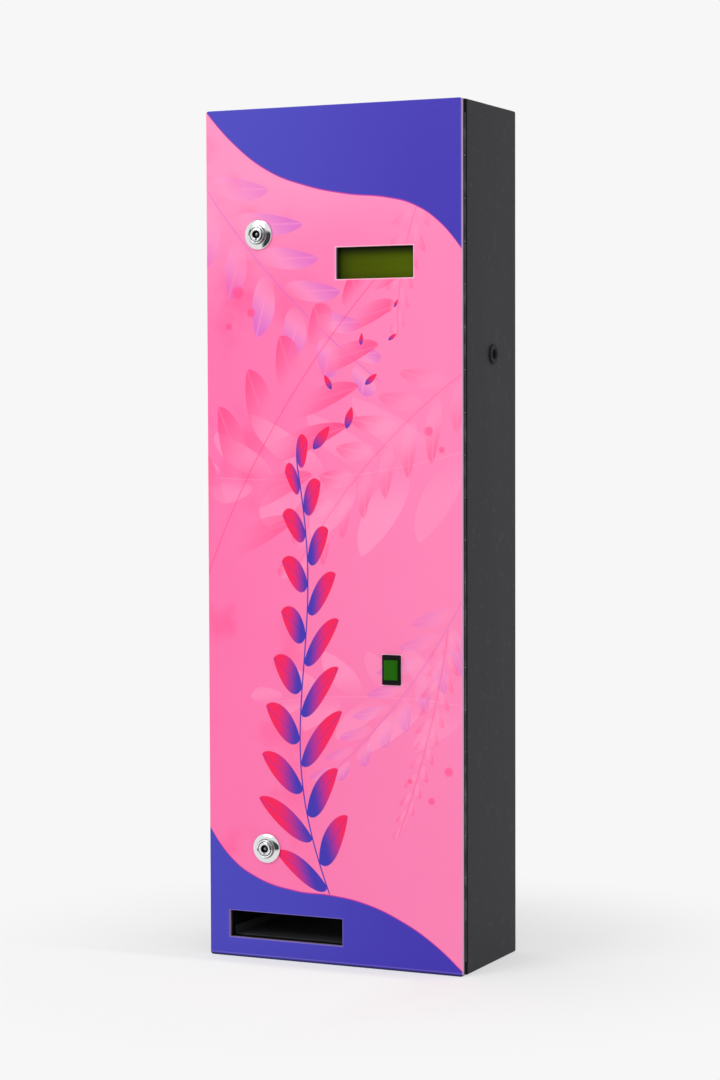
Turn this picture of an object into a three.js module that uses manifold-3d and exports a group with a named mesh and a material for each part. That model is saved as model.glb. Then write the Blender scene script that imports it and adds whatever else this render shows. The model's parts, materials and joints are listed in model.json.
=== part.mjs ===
// A slim wall dispenser for sanitary pads: a folded steel cabinet, a hinged front door with a printed
// fascia, display, push-button and two cam locks, a magazine that holds a stack of pads, and a motor
// with a rack and pinion that pushes the lowest pad out of the slot.
//
// Millimetres. Pieces are drawn from the lower left front corner of the machine, as on a workshop
// drawing: u runs across to the right, f runs back from the front face and z runs up from the base.
// The last group puts the origin under the middle of the machine, with +X right, +Y back and +Z up.
import * as THREE from 'three';
import { mergeVertices } from 'three/addons/utils/BufferGeometryUtils.js';
import Module from 'manifold-3d';

const wasm = await Module();
wasm.setup();

// Whole machine
const caseWide = 245;
const caseDeep = 122;
const caseTall = 750;
const sheet = 1.2;
const sheetBend = 0.8;
const fit = 0.3;
const slack = 0.6;
const overrun = 8;

// Facets of a full turn, on pieces that show and on the rest
const fineFacets = 32;
const plainFacets = 20;
const smallFacets = 12;
const wireFacets = 5;
const bendFacets = 3;

// Door: a printed fascia on a steel door panel
const fasciaThick = 3;
const fasciaChamfer = 0.4;
const fasciaCorner = 2.5;
const doorSheet = 1.6;
const doorPlate = fasciaThick + fit;
const doorBack = doorPlate + doorSheet;

// Piano hinge down the right edge
const knuckleRadius = 2.4;
const hingeLeaf = 0.9;
const pinRadius = 1;
const knuckleLong = 36;
const leafReach = 12.2;
const hingeInset = 12;
const hingeF = doorBack + fit + knuckleRadius;
const hingeU = caseWide - knuckleRadius;

// Cabinet front frame and the opening in it
const caseFront = hingeF + knuckleRadius + fit;
const latchFlange = 14;
const hingeFlange = 15;
const endFlange = 13;
const openLeft = latchFlange;
const openRight = caseWide - hingeFlange;
const openLow = endFlange;
const openHigh = caseTall - endFlange;
const flangeBack = caseFront + sheet;
const backIn = caseDeep - sheet;

// Dispensing slot and display window, as cut in the fascia
const slotLeft = 19.5;
const slotLow = 17.5;
const electricsWide = 114.5;
const slotWide = caseWide - slotLeft - electricsWide;
const slotTall = 23.6;
const slotRight = slotLeft + slotWide;
const slotHigh = slotLow + slotTall;
const windowWide = 73.1;
const windowTall = 27.4;
const windowInset = 45.4;
const windowDrop = 123.1;
const windowLeft = caseWide - windowInset - windowWide;
const windowLow = caseTall - windowDrop - windowTall;
const windowCorner = 0.8;

// Cam locks
const upperLockU = 51.7;
const upperLockDrop = 110;
const upperLockZ = caseTall - upperLockDrop;
const lowerLockU = 57.1;
const lowerLockZ = 99;
const barrelRadius = 9.2;
const barrelFlat = 8;
const plugRadius = 6;
const camGap = 0.8;
const camThick = 1.8;
const camFront = flangeBack + camGap;

// Push-button
const buttonInset = 66.1;
const buttonShare = 0.3492;
const buttonU = caseWide - buttonInset;
const buttonZ = caseTall * buttonShare;
const bezelWide = 17.3;
const bezelTall = 26;
const bezelLip = 1.2;
const buttonStroke = 2.5;

// Magazine, tray and chute that lead to the slot
const magazineSheet = 1;
const doorRoom = 20.8;
const magazineStand = 9.5;
const magazineStep = 1;
const magazineLip = 12;
const magazineDrop = 45;
const magazineTop = caseTall - magazineDrop;
const magazineBend = 1;
const traySill = 1;
const trayWall = 6.5;
const trayTop = slotLow + traySill;
const trayLow = trayTop - sheet;
const chuteTop = slotHigh + sheet;
const magazineLow = chuteTop + slack;
const magazineLeft = slotLeft + magazineStep;
const magazineRight = slotRight - magazineStep;
const magazineOuterLeft = magazineLeft - magazineSheet;
const magazineOuterRight = magazineRight + magazineSheet;
const magazineOuterBack = backIn - magazineStand;
const magazineBack = magazineOuterBack - magazineSheet;
const magazineFront = flangeBack + doorRoom;
const magazineOuterFront = magazineFront - magazineSheet;

// Rack and pinion ejector
const gearModule = 1.5;
const gearTeeth = 16;
const pressureAngle = THREE.MathUtils.degToRad(20);
const toothThin = 0.12;
const rackWide = 8;
const rackBody = 5;
const rackMargin = 6;
const rackStop = 5.5;
const pitchRadius = gearModule * gearTeeth / 2;
const rootShare = 1.25;
const dedendum = rootShare * gearModule;
const guideSheet = 1.2;
const shelfRise = 8.2;
const shelfTop = trayTop + shelfRise;
const rackLow = shelfTop + fit;
const rackRoot = rackLow + rackBody;
const rackPitch = rackRoot + dedendum;
const rackLeft = slotRight + sheet + 2 * slack + fit;
const rackRight = rackLeft + rackWide;
const rackBack = backIn - 2 * slack - sheet;
const ejectStroke = (rackBack - 2 * rackMargin - doorBack - rackStop) / 2;
const rackFront = rackBack - ejectStroke - 2 * rackMargin;
const pinionF = rackFront + rackMargin;
const pinionZ = rackPitch + pitchRadius;

// Turns a closed mesh into a solid that can be joined and cut. Triangles that shrink to a line where a
// revolved profile meets its axis are left out, and an inside-out mesh is turned the right way.
function toSolid(geometry) {
  const bare = new THREE.BufferGeometry();
  bare.setAttribute('position', geometry.getAttribute('position'));
  if (geometry.index) bare.setIndex(geometry.index);
  const merged = mergeVertices(bare);
  const place = merged.getAttribute('position');
  const corners = [0, 1, 2].map(() => new THREE.Vector3());
  const kept = [];
  let volume = 0;
  for (let i = 0; i < merged.index.count; i += 3) {
    const [a, b, c] = [0, 1, 2].map(k => merged.index.getX(i + k));
    if (a === b || b === c || c === a) continue;
    kept.push([a, b, c]);
    [a, b, c].forEach((index, k) => corners[k].fromBufferAttribute(place, index));
    volume += corners[0].dot(corners[1].cross(corners[2]));
  }
  const facing = volume < 0 ? kept.map(([a, b, c]) => [a, c, b]) : kept;
  const vertProperties = new Float32Array(place.array);
  const triVerts = new Uint32Array(facing.flat());
  return new wasm.Manifold(new wasm.Mesh({ numProp: 3, vertProperties, triVerts }));
}

function join(solids) {
  return solids.reduce((whole, next) => whole.add(next));
}

function cut(solid, tools) {
  return tools.reduce((rest, tool) => rest.subtract(tool), solid);
}

// A named piece with its finish
function piece(name, finish, solid) {
  const { vertProperties, triVerts } = solid.getMesh();
  const geometry = new THREE.BufferGeometry();
  geometry.setAttribute('position', new THREE.BufferAttribute(new Float32Array(vertProperties), 3));
  geometry.setIndex(new THREE.BufferAttribute(new Uint32Array(triVerts), 1));
  geometry.computeVertexNormals();
  const mesh = new THREE.Mesh(geometry, finish);
  mesh.name = name;
  return mesh;
}

function group(children, u = 0, f = 0, z = 0) {
  const whole = new THREE.Group();
  whole.position.set(u, f, z);
  whole.add(...children);
  return whole;
}

// Points along an arc, angles in radians, with as many facets as its share of a full turn
function arc(x, y, radius, from, to, facets = fineFacets) {
  const steps = Math.max(2, Math.round(Math.abs(to - from) / (2 * Math.PI) * facets));
  return Array.from({ length: steps + 1 }, (_, i) => {
    const angle = from + (to - from) * i / steps;
    return new THREE.Vector2(x + radius * Math.cos(angle), y + radius * Math.sin(angle));
  });
}

function circle(x, y, radius, facets = fineFacets) {
  return arc(x, y, radius, 0, 2 * Math.PI, facets).slice(0, -1);
}

function rectangle(left, low, right, high, radius = 0, facets = plainFacets) {
  const corners = [[right, high, 0], [left, high, 1], [left, low, 2], [right, low, 3]];
  if (radius === 0) return corners.map(([x, y]) => new THREE.Vector2(x, y));
  return corners.flatMap(([x, y, quarter]) => {
    const centreX = x + (x === right ? -radius : radius);
    const centreY = y + (y === high ? -radius : radius);
    const start = quarter * Math.PI / 2;
    return arc(centreX, centreY, radius, start, start + Math.PI / 2, facets);
  });
}

// A round hole or bar with two flats, as on a lock barrel
function flatted(x, y, radius, flat, facets = fineFacets) {
  const half = Math.acos(flat / radius);
  const upper = arc(x, y, radius, half, Math.PI - half, facets);
  const lower = arc(x, y, radius, Math.PI + half, 2 * Math.PI - half, facets);
  return [...upper, ...lower];
}

function hexagon(acrossFlats) {
  return circle(0, 0, acrossFlats / Math.sqrt(3), 6);
}

// A bar with round ends of two sizes joined by tangents. The small end points up.
function taperedLink(reach, hubRadius, tipRadius, facets = plainFacets) {
  const apart = reach - tipRadius;
  const lean = Math.acos((hubRadius - tipRadius) / apart);
  const hub = arc(0, 0, hubRadius, Math.PI / 2 + lean, 2.5 * Math.PI - lean, facets);
  const tip = arc(0, apart, tipRadius, Math.PI / 2 - lean, Math.PI / 2 + lean, facets);
  return [...hub, ...tip];
}

// The section of a folded sheet. The path is one face of it, and the sheet lies to its left.
function foldedSheet(corners, thick, bend) {
  const face = corners.map(([x, y]) => new THREE.Vector2(x, y));
  const along = face.slice(1).map((point, i) => point.clone().sub(face[i]).normalize());
  const normals = along.map(way => new THREE.Vector2(-way.y, way.x));
  const far = face.map((point, i) => {
    const before = normals[Math.max(i - 1, 0)];
    const after = normals[Math.min(i, normals.length - 1)];
    const miter = before.clone().add(after).divideScalar(1 + before.dot(after));
    return point.clone().addScaledVector(miter, thick);
  });
  const rounded = (path, insideOf) => path.flatMap((point, i) => {
    if (i === 0 || i === path.length - 1) return [point];
    const turn = Math.atan2(along[i - 1].cross(along[i]), along[i - 1].dot(along[i]));
    const radius = insideOf(turn) ? bend : bend + thick;
    const start = point.clone().addScaledVector(along[i - 1], -radius * Math.tan(Math.abs(turn) / 2));
    const centre = start.clone().addScaledVector(normals[i - 1], radius * Math.sign(turn));
    return Array.from({ length: bendFacets + 1 }, (_, k) =>
      start.clone().rotateAround(centre, turn * k / bendFacets));
  });
  return [...rounded(face, turn => turn < 0), ...rounded(far, turn => turn > 0).reverse()];
}

// The path of a hat section: two feet on a base and a crown that stands off it
function hatPath(from, to, foot, base, crown) {
  const path = [
    [from - foot, base], [from, base], [from, crown],
    [to, crown], [to, base], [to + foot, base],
  ];
  return crown > base ? path : path.reverse();
}

function flatShape(outline, holes = []) {
  const shape = new THREE.Shape(outline);
  shape.holes = holes.map(hole => new THREE.Path(hole));
  return shape;
}

function extruded(outline, holes, long, chamfer) {
  return new THREE.ExtrudeGeometry(flatShape(outline, holes), {
    depth: long - 2 * chamfer,
    bevelEnabled: chamfer > 0,
    bevelThickness: chamfer,
    bevelSize: chamfer,
    bevelOffset: -chamfer,
    bevelSegments: 1,
  }).translate(0, 0, chamfer);
}

// Outline seen from above, extruded up
function upright(outline, low, high, holes = [], chamfer = 0) {
  return toSolid(extruded(outline, holes, high - low, chamfer).translate(0, 0, low));
}

// Outline seen from the front, extruded back
function frontal(outline, front, back, holes = [], chamfer = 0) {
  const turn = new THREE.Matrix4().makeBasis(
    new THREE.Vector3(1, 0, 0), new THREE.Vector3(0, 0, 1), new THREE.Vector3(0, -1, 0));
  const solid = extruded(outline, holes, back - front, chamfer).translate(0, 0, -back);
  return toSolid(solid.applyMatrix4(turn));
}

// Outline seen from the right side, with f across and z up, extruded across the machine
function sideways(outline, left, right, holes = [], chamfer = 0) {
  const turn = new THREE.Matrix4().makeBasis(
    new THREE.Vector3(0, 1, 0), new THREE.Vector3(0, 0, 1), new THREE.Vector3(1, 0, 0));
  const solid = extruded(outline, holes, right - left, chamfer).translate(0, 0, left);
  return toSolid(solid.applyMatrix4(turn));
}

function block(left, right, front, back, low, high) {
  return upright(rectangle(left, front, right, back), low, high);
}

// Revolved about a line that runs back from the front, points as [radius, f]
function turnedBack(profile, facets = fineFacets) {
  const points = profile.map(([radius, along]) => new THREE.Vector2(radius, along));
  return toSolid(new THREE.LatheGeometry(points, facets));
}

// Revolved about a line that runs across the machine, points as [radius, u]
function turnedAcross(profile, f, z, facets = plainFacets) {
  const points = profile.map(([radius, along]) => new THREE.Vector2(radius, along));
  const geometry = new THREE.LatheGeometry(points, facets).rotateZ(-Math.PI / 2);
  return toSolid(geometry.translate(0, f, z));
}

// Revolved about an upright line, points as [radius, z]
function turnedUpright(profile, u, f, facets = plainFacets) {
  const points = profile.map(([radius, along]) => new THREE.Vector2(radius, along));
  const geometry = new THREE.LatheGeometry(points, facets).rotateX(Math.PI / 2);
  return toSolid(geometry.translate(u, f, 0));
}

// Finishes
const paint = (color, roughness, metalness) =>
  new THREE.MeshStandardMaterial({ color, roughness, metalness });
const printedFascia = paint(0xff82b4, 0.35, 0);
const darkPaint = paint(0x404043, 0.55, 0.2);
const blackPlastic = paint(0x0c0c0d, 0.5, 0);
const greenPlastic = paint(0x2c7a12, 0.4, 0);
const displayGreen = paint(0x6d8a2c, 0.2, 0);
const chrome = paint(0xd8dadd, 0.12, 1);
const zincSteel = paint(0xa9adb2, 0.35, 0.9);
const brass = paint(0xb9944a, 0.3, 1);
const blackRubber = paint(0x151515, 0.85, 0);
const acetal = paint(0xe8e6df, 0.45, 0);
const boardGreen = paint(0x1d6b3a, 0.5, 0);
const connectorGreen = paint(0x2f8f4e, 0.5, 0);
const relayBlue = paint(0x1f5fb0, 0.45, 0);
const springSteel = paint(0x8b9096, 0.3, 1);

// Holes that the fascia and the door panel share
function doorHoles(spare) {
  const buttonSide = bezelWide / 2 - bezelLip + spare;
  const buttonEnd = bezelTall / 2 - bezelLip + spare;
  return [
    rectangle(slotLeft, slotLow, slotRight, slotHigh),
    rectangle(windowLeft, windowLow, windowLeft + windowWide, windowLow + windowTall, windowCorner),
    rectangle(buttonU - buttonSide, buttonZ - buttonEnd, buttonU + buttonSide, buttonZ + buttonEnd),
    flatted(upperLockU, upperLockZ, barrelRadius + spare, barrelFlat + spare, plainFacets),
    flatted(lowerLockU, lowerLockZ, barrelRadius + spare, barrelFlat + spare, plainFacets),
  ];
}

function fasciaPanel() {
  const outline = rectangle(0, 0, caseWide, caseTall, fasciaCorner);
  return frontal(outline, 0, fasciaThick, doorHoles(fit), fasciaChamfer);
}

// Display: a framed module hung on four weld studs of the door panel
const boardThick = 1.6;
const frameWide = 97;
const frameTall = 40;
const boardSide = 0.5;
const boardEnd = 10;
const boardWide = frameWide + 2 * boardSide;
const boardTall = frameTall + 2 * boardEnd;
const frameWall = 2;
const frameLip = 0.5;
const frameDeep = 6.5;
const viewMargin = 1.5;
const glassThick = 2.6;
const studInset = 3;
const studRadius = 2.6;
const studTip = 1.4;
const studReach = 5;
const windowMidU = windowLeft + windowWide / 2;
const windowMidZ = windowLow + windowTall / 2;
const frameFront = doorBack + fit;
const boardFront = frameFront + frameDeep + fit;
const studPlaces = [-1, 1].flatMap(side => [-1, 1].map(end => [
  windowMidU + side * (boardWide / 2 - studInset),
  windowMidZ + end * (boardTall / 2 - studInset),
]));

function doorPanel() {
  const outline = rectangle(0, 0, caseWide, caseTall, fasciaCorner);
  const panel = frontal(outline, doorPlate, doorBack, doorHoles(fit));
  const studEnd = boardFront + boardThick + studReach;
  const studs = studPlaces.flatMap(([u, z]) => [
    frontal(circle(u, z, studRadius, smallFacets), doorPlate + doorSheet / 2, boardFront - fit),
    frontal(circle(u, z, studTip, smallFacets), doorPlate + doorSheet / 2, studEnd),
  ]);
  return join([panel, ...studs]);
}

function displayParts() {
  const spread = (wide, tall) => rectangle(
    windowMidU - wide / 2, windowMidZ - tall / 2, windowMidU + wide / 2, windowMidZ + tall / 2);
  const view = spread(windowWide + 2 * viewMargin, windowTall + 2 * viewMargin);
  const pocket = spread(frameWide - 2 * frameWall, frameTall - 2 * frameWall);
  const frameBack = frameFront + frameDeep;
  const frame = cut(frontal(spread(frameWide, frameTall), frameFront, frameBack, [view]), [
    frontal(pocket, frameFront + frameLip, frameBack + overrun),
  ]);
  const filling = spread(frameWide - 2 * frameWall - 2 * fit, frameTall - 2 * frameWall - 2 * fit);
  const glassFront = frameFront + frameLip + fit;
  const glassBack = glassFront + glassThick;
  const holes = studPlaces.map(([u, z]) => circle(u, z, studTip + fit, smallFacets));
  const board = frontal(spread(boardWide, boardTall), boardFront, boardFront + boardThick, holes);
  return [
    piece('display_frame', blackPlastic, frame),
    piece('display_glass', displayGreen, frontal(filling, glassFront, glassBack)),
    piece('display_backlight', acetal, frontal(filling, glassBack + fit, frameBack)),
    piece('display_board', boardGreen, board),
  ];
}

// Stiffening frame welded behind the door panel. It drops into the cabinet opening when the door shuts.
const frameFoot = 9;
function doorFrame() {
  const gap = 2 * slack;
  const left = openLeft + gap;
  const right = openRight - gap;
  const low = openLow + gap;
  const high = openHigh - gap;
  const seat = doorBack + fit;
  const web = frontal(
    rectangle(left, low, right, high), seat, flangeBack,
    [rectangle(left + sheet, low + sheet, right - sheet, high - sheet)]);
  const feet = frontal(
    rectangle(left - frameFoot, low - frameFoot, right, high + frameFoot), seat, seat + sheet,
    [rectangle(left + sheet, low + sheet, right - frameFoot, high - sheet)]);
  return join([web, feet]);
}

// Black lining of the slot, between the door panel and the chute
const linerWall = 1.5;
const linerLip = 8;
function slotLiner() {
  const seat = doorBack + fit;
  const inner = rectangle(slotLeft, slotLow, slotRight, slotHigh);
  const outer = rectangle(
    slotLeft - linerWall, slotLow - linerWall, slotRight + linerWall, slotHigh + linerWall);
  const tube = frontal(outer, seat, flangeBack, [inner]);
  const lip = frontal(
    rectangle(slotLeft - linerWall, slotHigh, slotRight + linerWall, slotHigh + linerWall + linerLip),
    seat, seat + linerWall);
  return join([tube, lip]);
}

// Half of the piano hinge. The door half bends its leaf off the front of the knuckles and the cabinet
// half off the back, and each has every second knuckle.
const hingeLow = hingeInset;
const hingeHigh = caseTall - hingeInset;
const hingeHalf = knuckleRadius - hingeLeaf;
function hingeHalfSolid(face, firstKnuckle) {
  const count = Math.round((hingeHigh - hingeLow) / knuckleLong);
  const pitch = (hingeHigh - hingeLow) / count;
  const place = points => points.map(point => new THREE.Vector2(hingeU + point.x, hingeF + face * point.y));
  const tailEnd = -leafReach;
  const leafEnd = -(knuckleRadius + slack);
  const leaf = upright(
    place(rectangle(tailEnd, hingeHalf, leafEnd, knuckleRadius)), hingeLow, hingeHigh);
  const curlEnd = Math.PI - Math.asin(hingeHalf / knuckleRadius);
  const curl = arc(0, 0, knuckleRadius, Math.PI / 2, curlEnd - 2 * Math.PI, smallFacets);
  const tail = [[leafEnd - hingeLeaf, hingeHalf], [leafEnd - hingeLeaf, knuckleRadius]];
  const outline = place([...curl, ...tail.map(([x, y]) => new THREE.Vector2(x, y))]);
  const bore = place(circle(0, 0, pinRadius + fit, smallFacets));
  const knuckles = [];
  for (let i = firstKnuckle; i < count; i += 2) {
    const low = hingeLow + i * pitch;
    knuckles.push(upright(outline, low + fit / 2, low + pitch - fit / 2, [bore]));
  }
  return join([leaf, ...knuckles]);
}

const pinHead = 0.7;
function hingePin() {
  const headRadius = knuckleRadius - fit;
  return turnedUpright([
    [0, hingeLow - fit - pinHead],
    [headRadius, hingeLow - fit - pinHead],
    [headRadius, hingeLow - fit],
    [pinRadius, hingeLow - fit],
    [pinRadius, hingeHigh + fit],
    [headRadius, hingeHigh + fit],
    [headRadius, hingeHigh + fit + pinHead],
    [0, hingeHigh + fit + pinHead],
  ], hingeU, hingeF, smallFacets);
}

// Cabinet: a welded sheet box, open at the front, with a cable hole in its right side and four keyholes in
// its back, and a flat frame welded into its mouth
const grommetF = 68.4;
const grommetDrop = 215.5;
const grommetZ = caseTall - grommetDrop;
const grommetHole = 7;
const caseEdge = 2;
const caseCorner = 1;
const keyholeSide = 42;
const keyholeEnd = 60;
const keyholeHead = 4.5;
const keyholeShank = 2.4;
const keyholeDrop = 9;
function cabinetShell() {
  const seen = rectangle(0, 0, caseWide, caseTall, caseCorner);
  const inside = rectangle(sheet, sheet, caseWide - sheet, caseTall - sheet, sheetBend);
  const walls = frontal(seen, caseFront, caseDeep, [inside]);
  const back = frontal(inside, backIn, caseDeep);
  const sides = rectangle(0, caseFront, caseWide, caseDeep + caseEdge, caseEdge);
  const ends = rectangle(caseFront - caseEdge, 0, caseDeep, caseTall, caseEdge);
  const body = join([walls, back])
    .intersect(upright(sides, 0, caseTall))
    .intersect(sideways(ends, 0, caseWide));
  const cable = sideways(
    circle(grommetF, grommetZ, grommetHole), caseWide - overrun, caseWide + overrun);
  const shanks = [keyholeSide, caseWide - keyholeSide].flatMap(u =>
    [keyholeEnd, caseTall - keyholeEnd].map(z => keyhole(u, z)));
  return cut(body, [cable, ...shanks]);
}

function cabinetFrame() {
  const margin = sheet + fit;
  const outline = rectangle(margin, margin, caseWide - margin, caseTall - margin);
  return frontal(outline, caseFront, flangeBack, [rectangle(openLeft, openLow, openRight, openHigh)]);
}

function keyhole(u, z) {
  const back = [backIn - overrun, caseDeep + overrun];
  const head = frontal(circle(u, z, keyholeHead, smallFacets), ...back);
  const slot = frontal([
    ...arc(u, z + keyholeDrop, keyholeShank, 0, Math.PI, smallFacets),
    new THREE.Vector2(u - keyholeShank, z),
    new THREE.Vector2(u + keyholeShank, z),
  ], ...back);
  return head.add(slot);
}

const grommetBore = 4.5;
const grommetFlange = 8.75;
const grommetLip = 1.8;
const grommetRound = 0.7;
function cableGrommet() {
  const neck = grommetHole - fit;
  const outside = caseWide + fit;
  const inside = caseWide - sheet - fit;
  return turnedAcross([
    [grommetBore, inside - grommetLip],
    [grommetFlange - grommetRound, inside - grommetLip],
    [grommetFlange, inside - grommetLip + grommetRound],
    [grommetFlange, inside],
    [neck, inside],
    [neck, outside],
    [grommetFlange, outside],
    [grommetFlange, outside + grommetLip - grommetRound],
    [grommetFlange - grommetRound, outside + grommetLip],
    [grommetBore + grommetRound, outside + grommetLip],
    [grommetBore, outside + grommetLip - grommetRound],
    [grommetBore, inside - grommetLip],
  ], grommetF, grommetZ, fineFacets);
}

// Magazine: a channel open at the front for loading, with a long slot in each side for the follower
const earInset = 18.3;
const earWide = 7.2;
const earRise = 3;
const tabTall = 28;
const followerShort = 11.1;
const earF = magazineBack - earInset;
const earBottom = magazineLow + earRise;
const followerTravel = magazineTop - followerShort - tabTall - earBottom;
function magazineChannel() {
  const body = upright(foldedSheet([
    [magazineOuterRight - magazineLip, magazineOuterFront], [magazineOuterRight, magazineOuterFront],
    [magazineOuterRight, magazineOuterBack], [magazineOuterLeft, magazineOuterBack],
    [magazineOuterLeft, magazineOuterFront], [magazineOuterLeft + magazineLip, magazineOuterFront],
  ], magazineSheet, magazineBend), magazineLow, magazineTop);
  const half = earWide / 2 + slack;
  const low = earBottom - fit;
  const high = earBottom + followerTravel + sheet + slack;
  const track = sideways(
    rectangle(earF - half, low, earF + half, high),
    magazineOuterLeft - overrun, magazineOuterRight + overrun);
  return cut(body, [track]);
}

// Hat brackets that hold the magazine off the back of the cabinet
const bracketWideShare = 0.55;
const bracketFoot = 14;
const bracketTall = 36;
const bracketLevelShares = [0.16, 0.82];
function magazineBracket(level) {
  const middle = (magazineLeft + magazineRight) / 2;
  const half = (magazineRight - magazineLeft) * bracketWideShare / 2;
  const section = foldedSheet(hatPath(
    middle - half, middle + half, bracketFoot,
    backIn - fit, magazineOuterBack + fit + sheet), sheet, sheetBend);
  return upright(section, level, level + bracketTall);
}

// Tray under the magazine and the chute that carries on to the door
const trayFront = flangeBack + slack;
const trayBack = backIn - 2 * slack;
function dispenseTray() {
  const wallTop = trayTop + trayWall;
  const section = foldedSheet([
    [slotLeft - sheet, wallTop], [slotLeft - sheet, trayLow],
    [slotRight + sheet, trayLow], [slotRight + sheet, wallTop],
  ], sheet, sheetBend);
  return frontal(section, trayFront, trayBack);
}

const riserWide = 16;
const riserFoot = 10;
const riserShares = [0.14, 0.74];
function trayRiser(front) {
  const section = foldedSheet(hatPath(
    front, front + riserWide, riserFoot, sheet + fit, trayLow - fit - sheet), sheet, sheetBend);
  return sideways(section, slotLeft + sheet, slotRight - sheet);
}

function deliveryChute() {
  const legEnd = trayTop + trayWall + fit;
  const section = foldedSheet([
    [slotRight + sheet, legEnd], [slotRight + sheet, chuteTop],
    [slotLeft - sheet, chuteTop], [slotLeft - sheet, legEnd],
  ], sheet, sheetBend);
  return frontal(section, trayFront, magazineOuterFront - fit);
}

// Follower: a weighted plate that presses the stack down and stops on the ends of the side slots
const followerGap = 1.5;
const followerEdge = 9;
const tabWide = 34;
const tabHole = 7;
const tabRim = 4;
const weightWideShare = 0.57;
const weightDeepShare = 0.51;
const weightTall = 14;
const weightChamfer = 1;
function followerPlate() {
  const front = magazineFront + followerGap;
  const back = magazineBack - followerGap;
  const left = magazineLeft + followerGap;
  const right = magazineRight - followerGap;
  const middle = (left + right) / 2;
  const pan = sideways(foldedSheet([
    [front, earBottom + followerEdge], [front, earBottom],
    [back, earBottom], [back, earBottom + followerEdge],
  ], sheet, sheetBend), left, right);
  const reach = magazineSheet + followerGap + slack + fit;
  const ears = block(
    left - reach, right + reach, earF - earWide / 2, earF + earWide / 2,
    earBottom, earBottom + sheet);
  const tabTop = earBottom + tabTall;
  const finger = circle(middle, tabTop - tabRim - tabHole, tabHole);
  const tab = frontal(
    rectangle(middle - tabWide / 2, earBottom + sheet, middle + tabWide / 2, tabTop, tabRim),
    front, front + sheet, [finger]);
  return join([pan, ears, tab]);
}

function followerWeight() {
  const middleU = (magazineLeft + magazineRight) / 2;
  const middleF = (magazineFront + magazineBack) / 2;
  const halfWide = (magazineRight - magazineLeft) * weightWideShare / 2;
  const halfDeep = (magazineBack - magazineFront) * weightDeepShare / 2;
  const low = earBottom + sheet + fit;
  return upright(
    rectangle(middleU - halfWide, middleF - halfDeep, middleU + halfWide, middleF + halfDeep),
    low, low + weightTall, [], weightChamfer);
}

// Teeth of the pinion, an involute outline with a tooth space pointing straight down to the rack
const involute = angle => Math.tan(angle) - angle;
function pinionOutline() {
  const base = pitchRadius * Math.cos(pressureAngle);
  const root = pitchRadius - dedendum;
  const tip = pitchRadius + gearModule;
  const pitchHalf = Math.PI / (2 * gearTeeth) - toothThin / pitchRadius;
  const flankSteps = 3;
  const flank = [[root, pitchHalf + involute(pressureAngle)]];
  for (let i = 0; i <= flankSteps; i += 1) {
    const radius = base + (tip - base) * i / flankSteps;
    const half = pitchHalf + involute(pressureAngle) - involute(Math.acos(base / radius));
    flank.push([radius, half]);
  }
  const polar = (radius, angle) => new THREE.Vector2(
    pinionF + radius * Math.cos(angle), pinionZ + radius * Math.sin(angle));
  return Array.from({ length: gearTeeth }, (_, i) => {
    const centre = -Math.PI / 2 + (i + 0.5) * 2 * Math.PI / gearTeeth;
    const rising = flank.map(([radius, half]) => polar(radius, centre - half));
    const falling = flank.map(([radius, half]) => polar(radius, centre + half)).reverse();
    return [...rising, ...falling];
  }).flat();
}

const shaftRadius = 3;
const shaftFlat = 2.4;
const boreGap = 0.25;
function shaftOutline(spare) {
  const radius = shaftRadius + spare;
  const half = Math.acos((shaftFlat + spare) / radius);
  return arc(pinionF, pinionZ, radius, Math.PI / 2 + half, 2.5 * Math.PI - half, plainFacets);
}

function drivePinion() {
  return sideways(pinionOutline(), rackLeft, rackRight, [shaftOutline(boreGap)]);
}

const flankSlope = Math.tan(pressureAngle);
function ejectRack() {
  const pitch = Math.PI * gearModule;
  const pitchHalf = pitch / 4 - toothThin;
  const rootHalf = pitchHalf + dedendum * flankSlope;
  const tipHalf = pitchHalf - gearModule * flankSlope;
  const rackTip = rackPitch + gearModule;
  const first = Math.ceil((rackFront + rootHalf - pinionF) / pitch);
  const last = Math.floor((rackBack - rootHalf - pinionF) / pitch);
  const points = [[rackFront, rackRoot], [rackFront, rackLow], [rackBack, rackLow], [rackBack, rackRoot]];
  for (let i = last; i >= first; i -= 1) {
    const centre = pinionF + i * pitch;
    points.push([centre + rootHalf, rackRoot], [centre + tipHalf, rackTip]);
    points.push([centre - tipHalf, rackTip], [centre - rootHalf, rackRoot]);
  }
  return sideways(points.map(([f, z]) => new THREE.Vector2(f, z)), rackLeft, rackRight);
}

// Pusher: a stiffened plate behind the lowest pad, with an arm that is riveted to the rack
const pusherRise = 0.8;
const pusherSide = 4;
const pusherFlange = 6.5;
const armLong = 14;
function pusherPlate() {
  const front = magazineBack + fit;
  const low = trayTop + pusherRise;
  const high = magazineLow - 2 * pusherSide;
  const face = sideways(foldedSheet([
    [front + pusherFlange, low], [front, low], [front, high], [front + pusherFlange, high],
  ].reverse(), sheet, sheetBend), slotLeft + pusherSide, slotRight - pusherSide);
  const armLow = trayTop + trayWall + slack;
  const armHigh = rackRoot;
  const armRight = rackLeft - fit;
  const bridge = block(slotRight - 2 * pusherSide, armRight, front, front + sheet, armLow, armHigh);
  const strap = block(armRight - sheet, armRight, front - armLong, front + pusherFlange, armLow, armHigh);
  return join([face, bridge, strap]);
}

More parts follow.
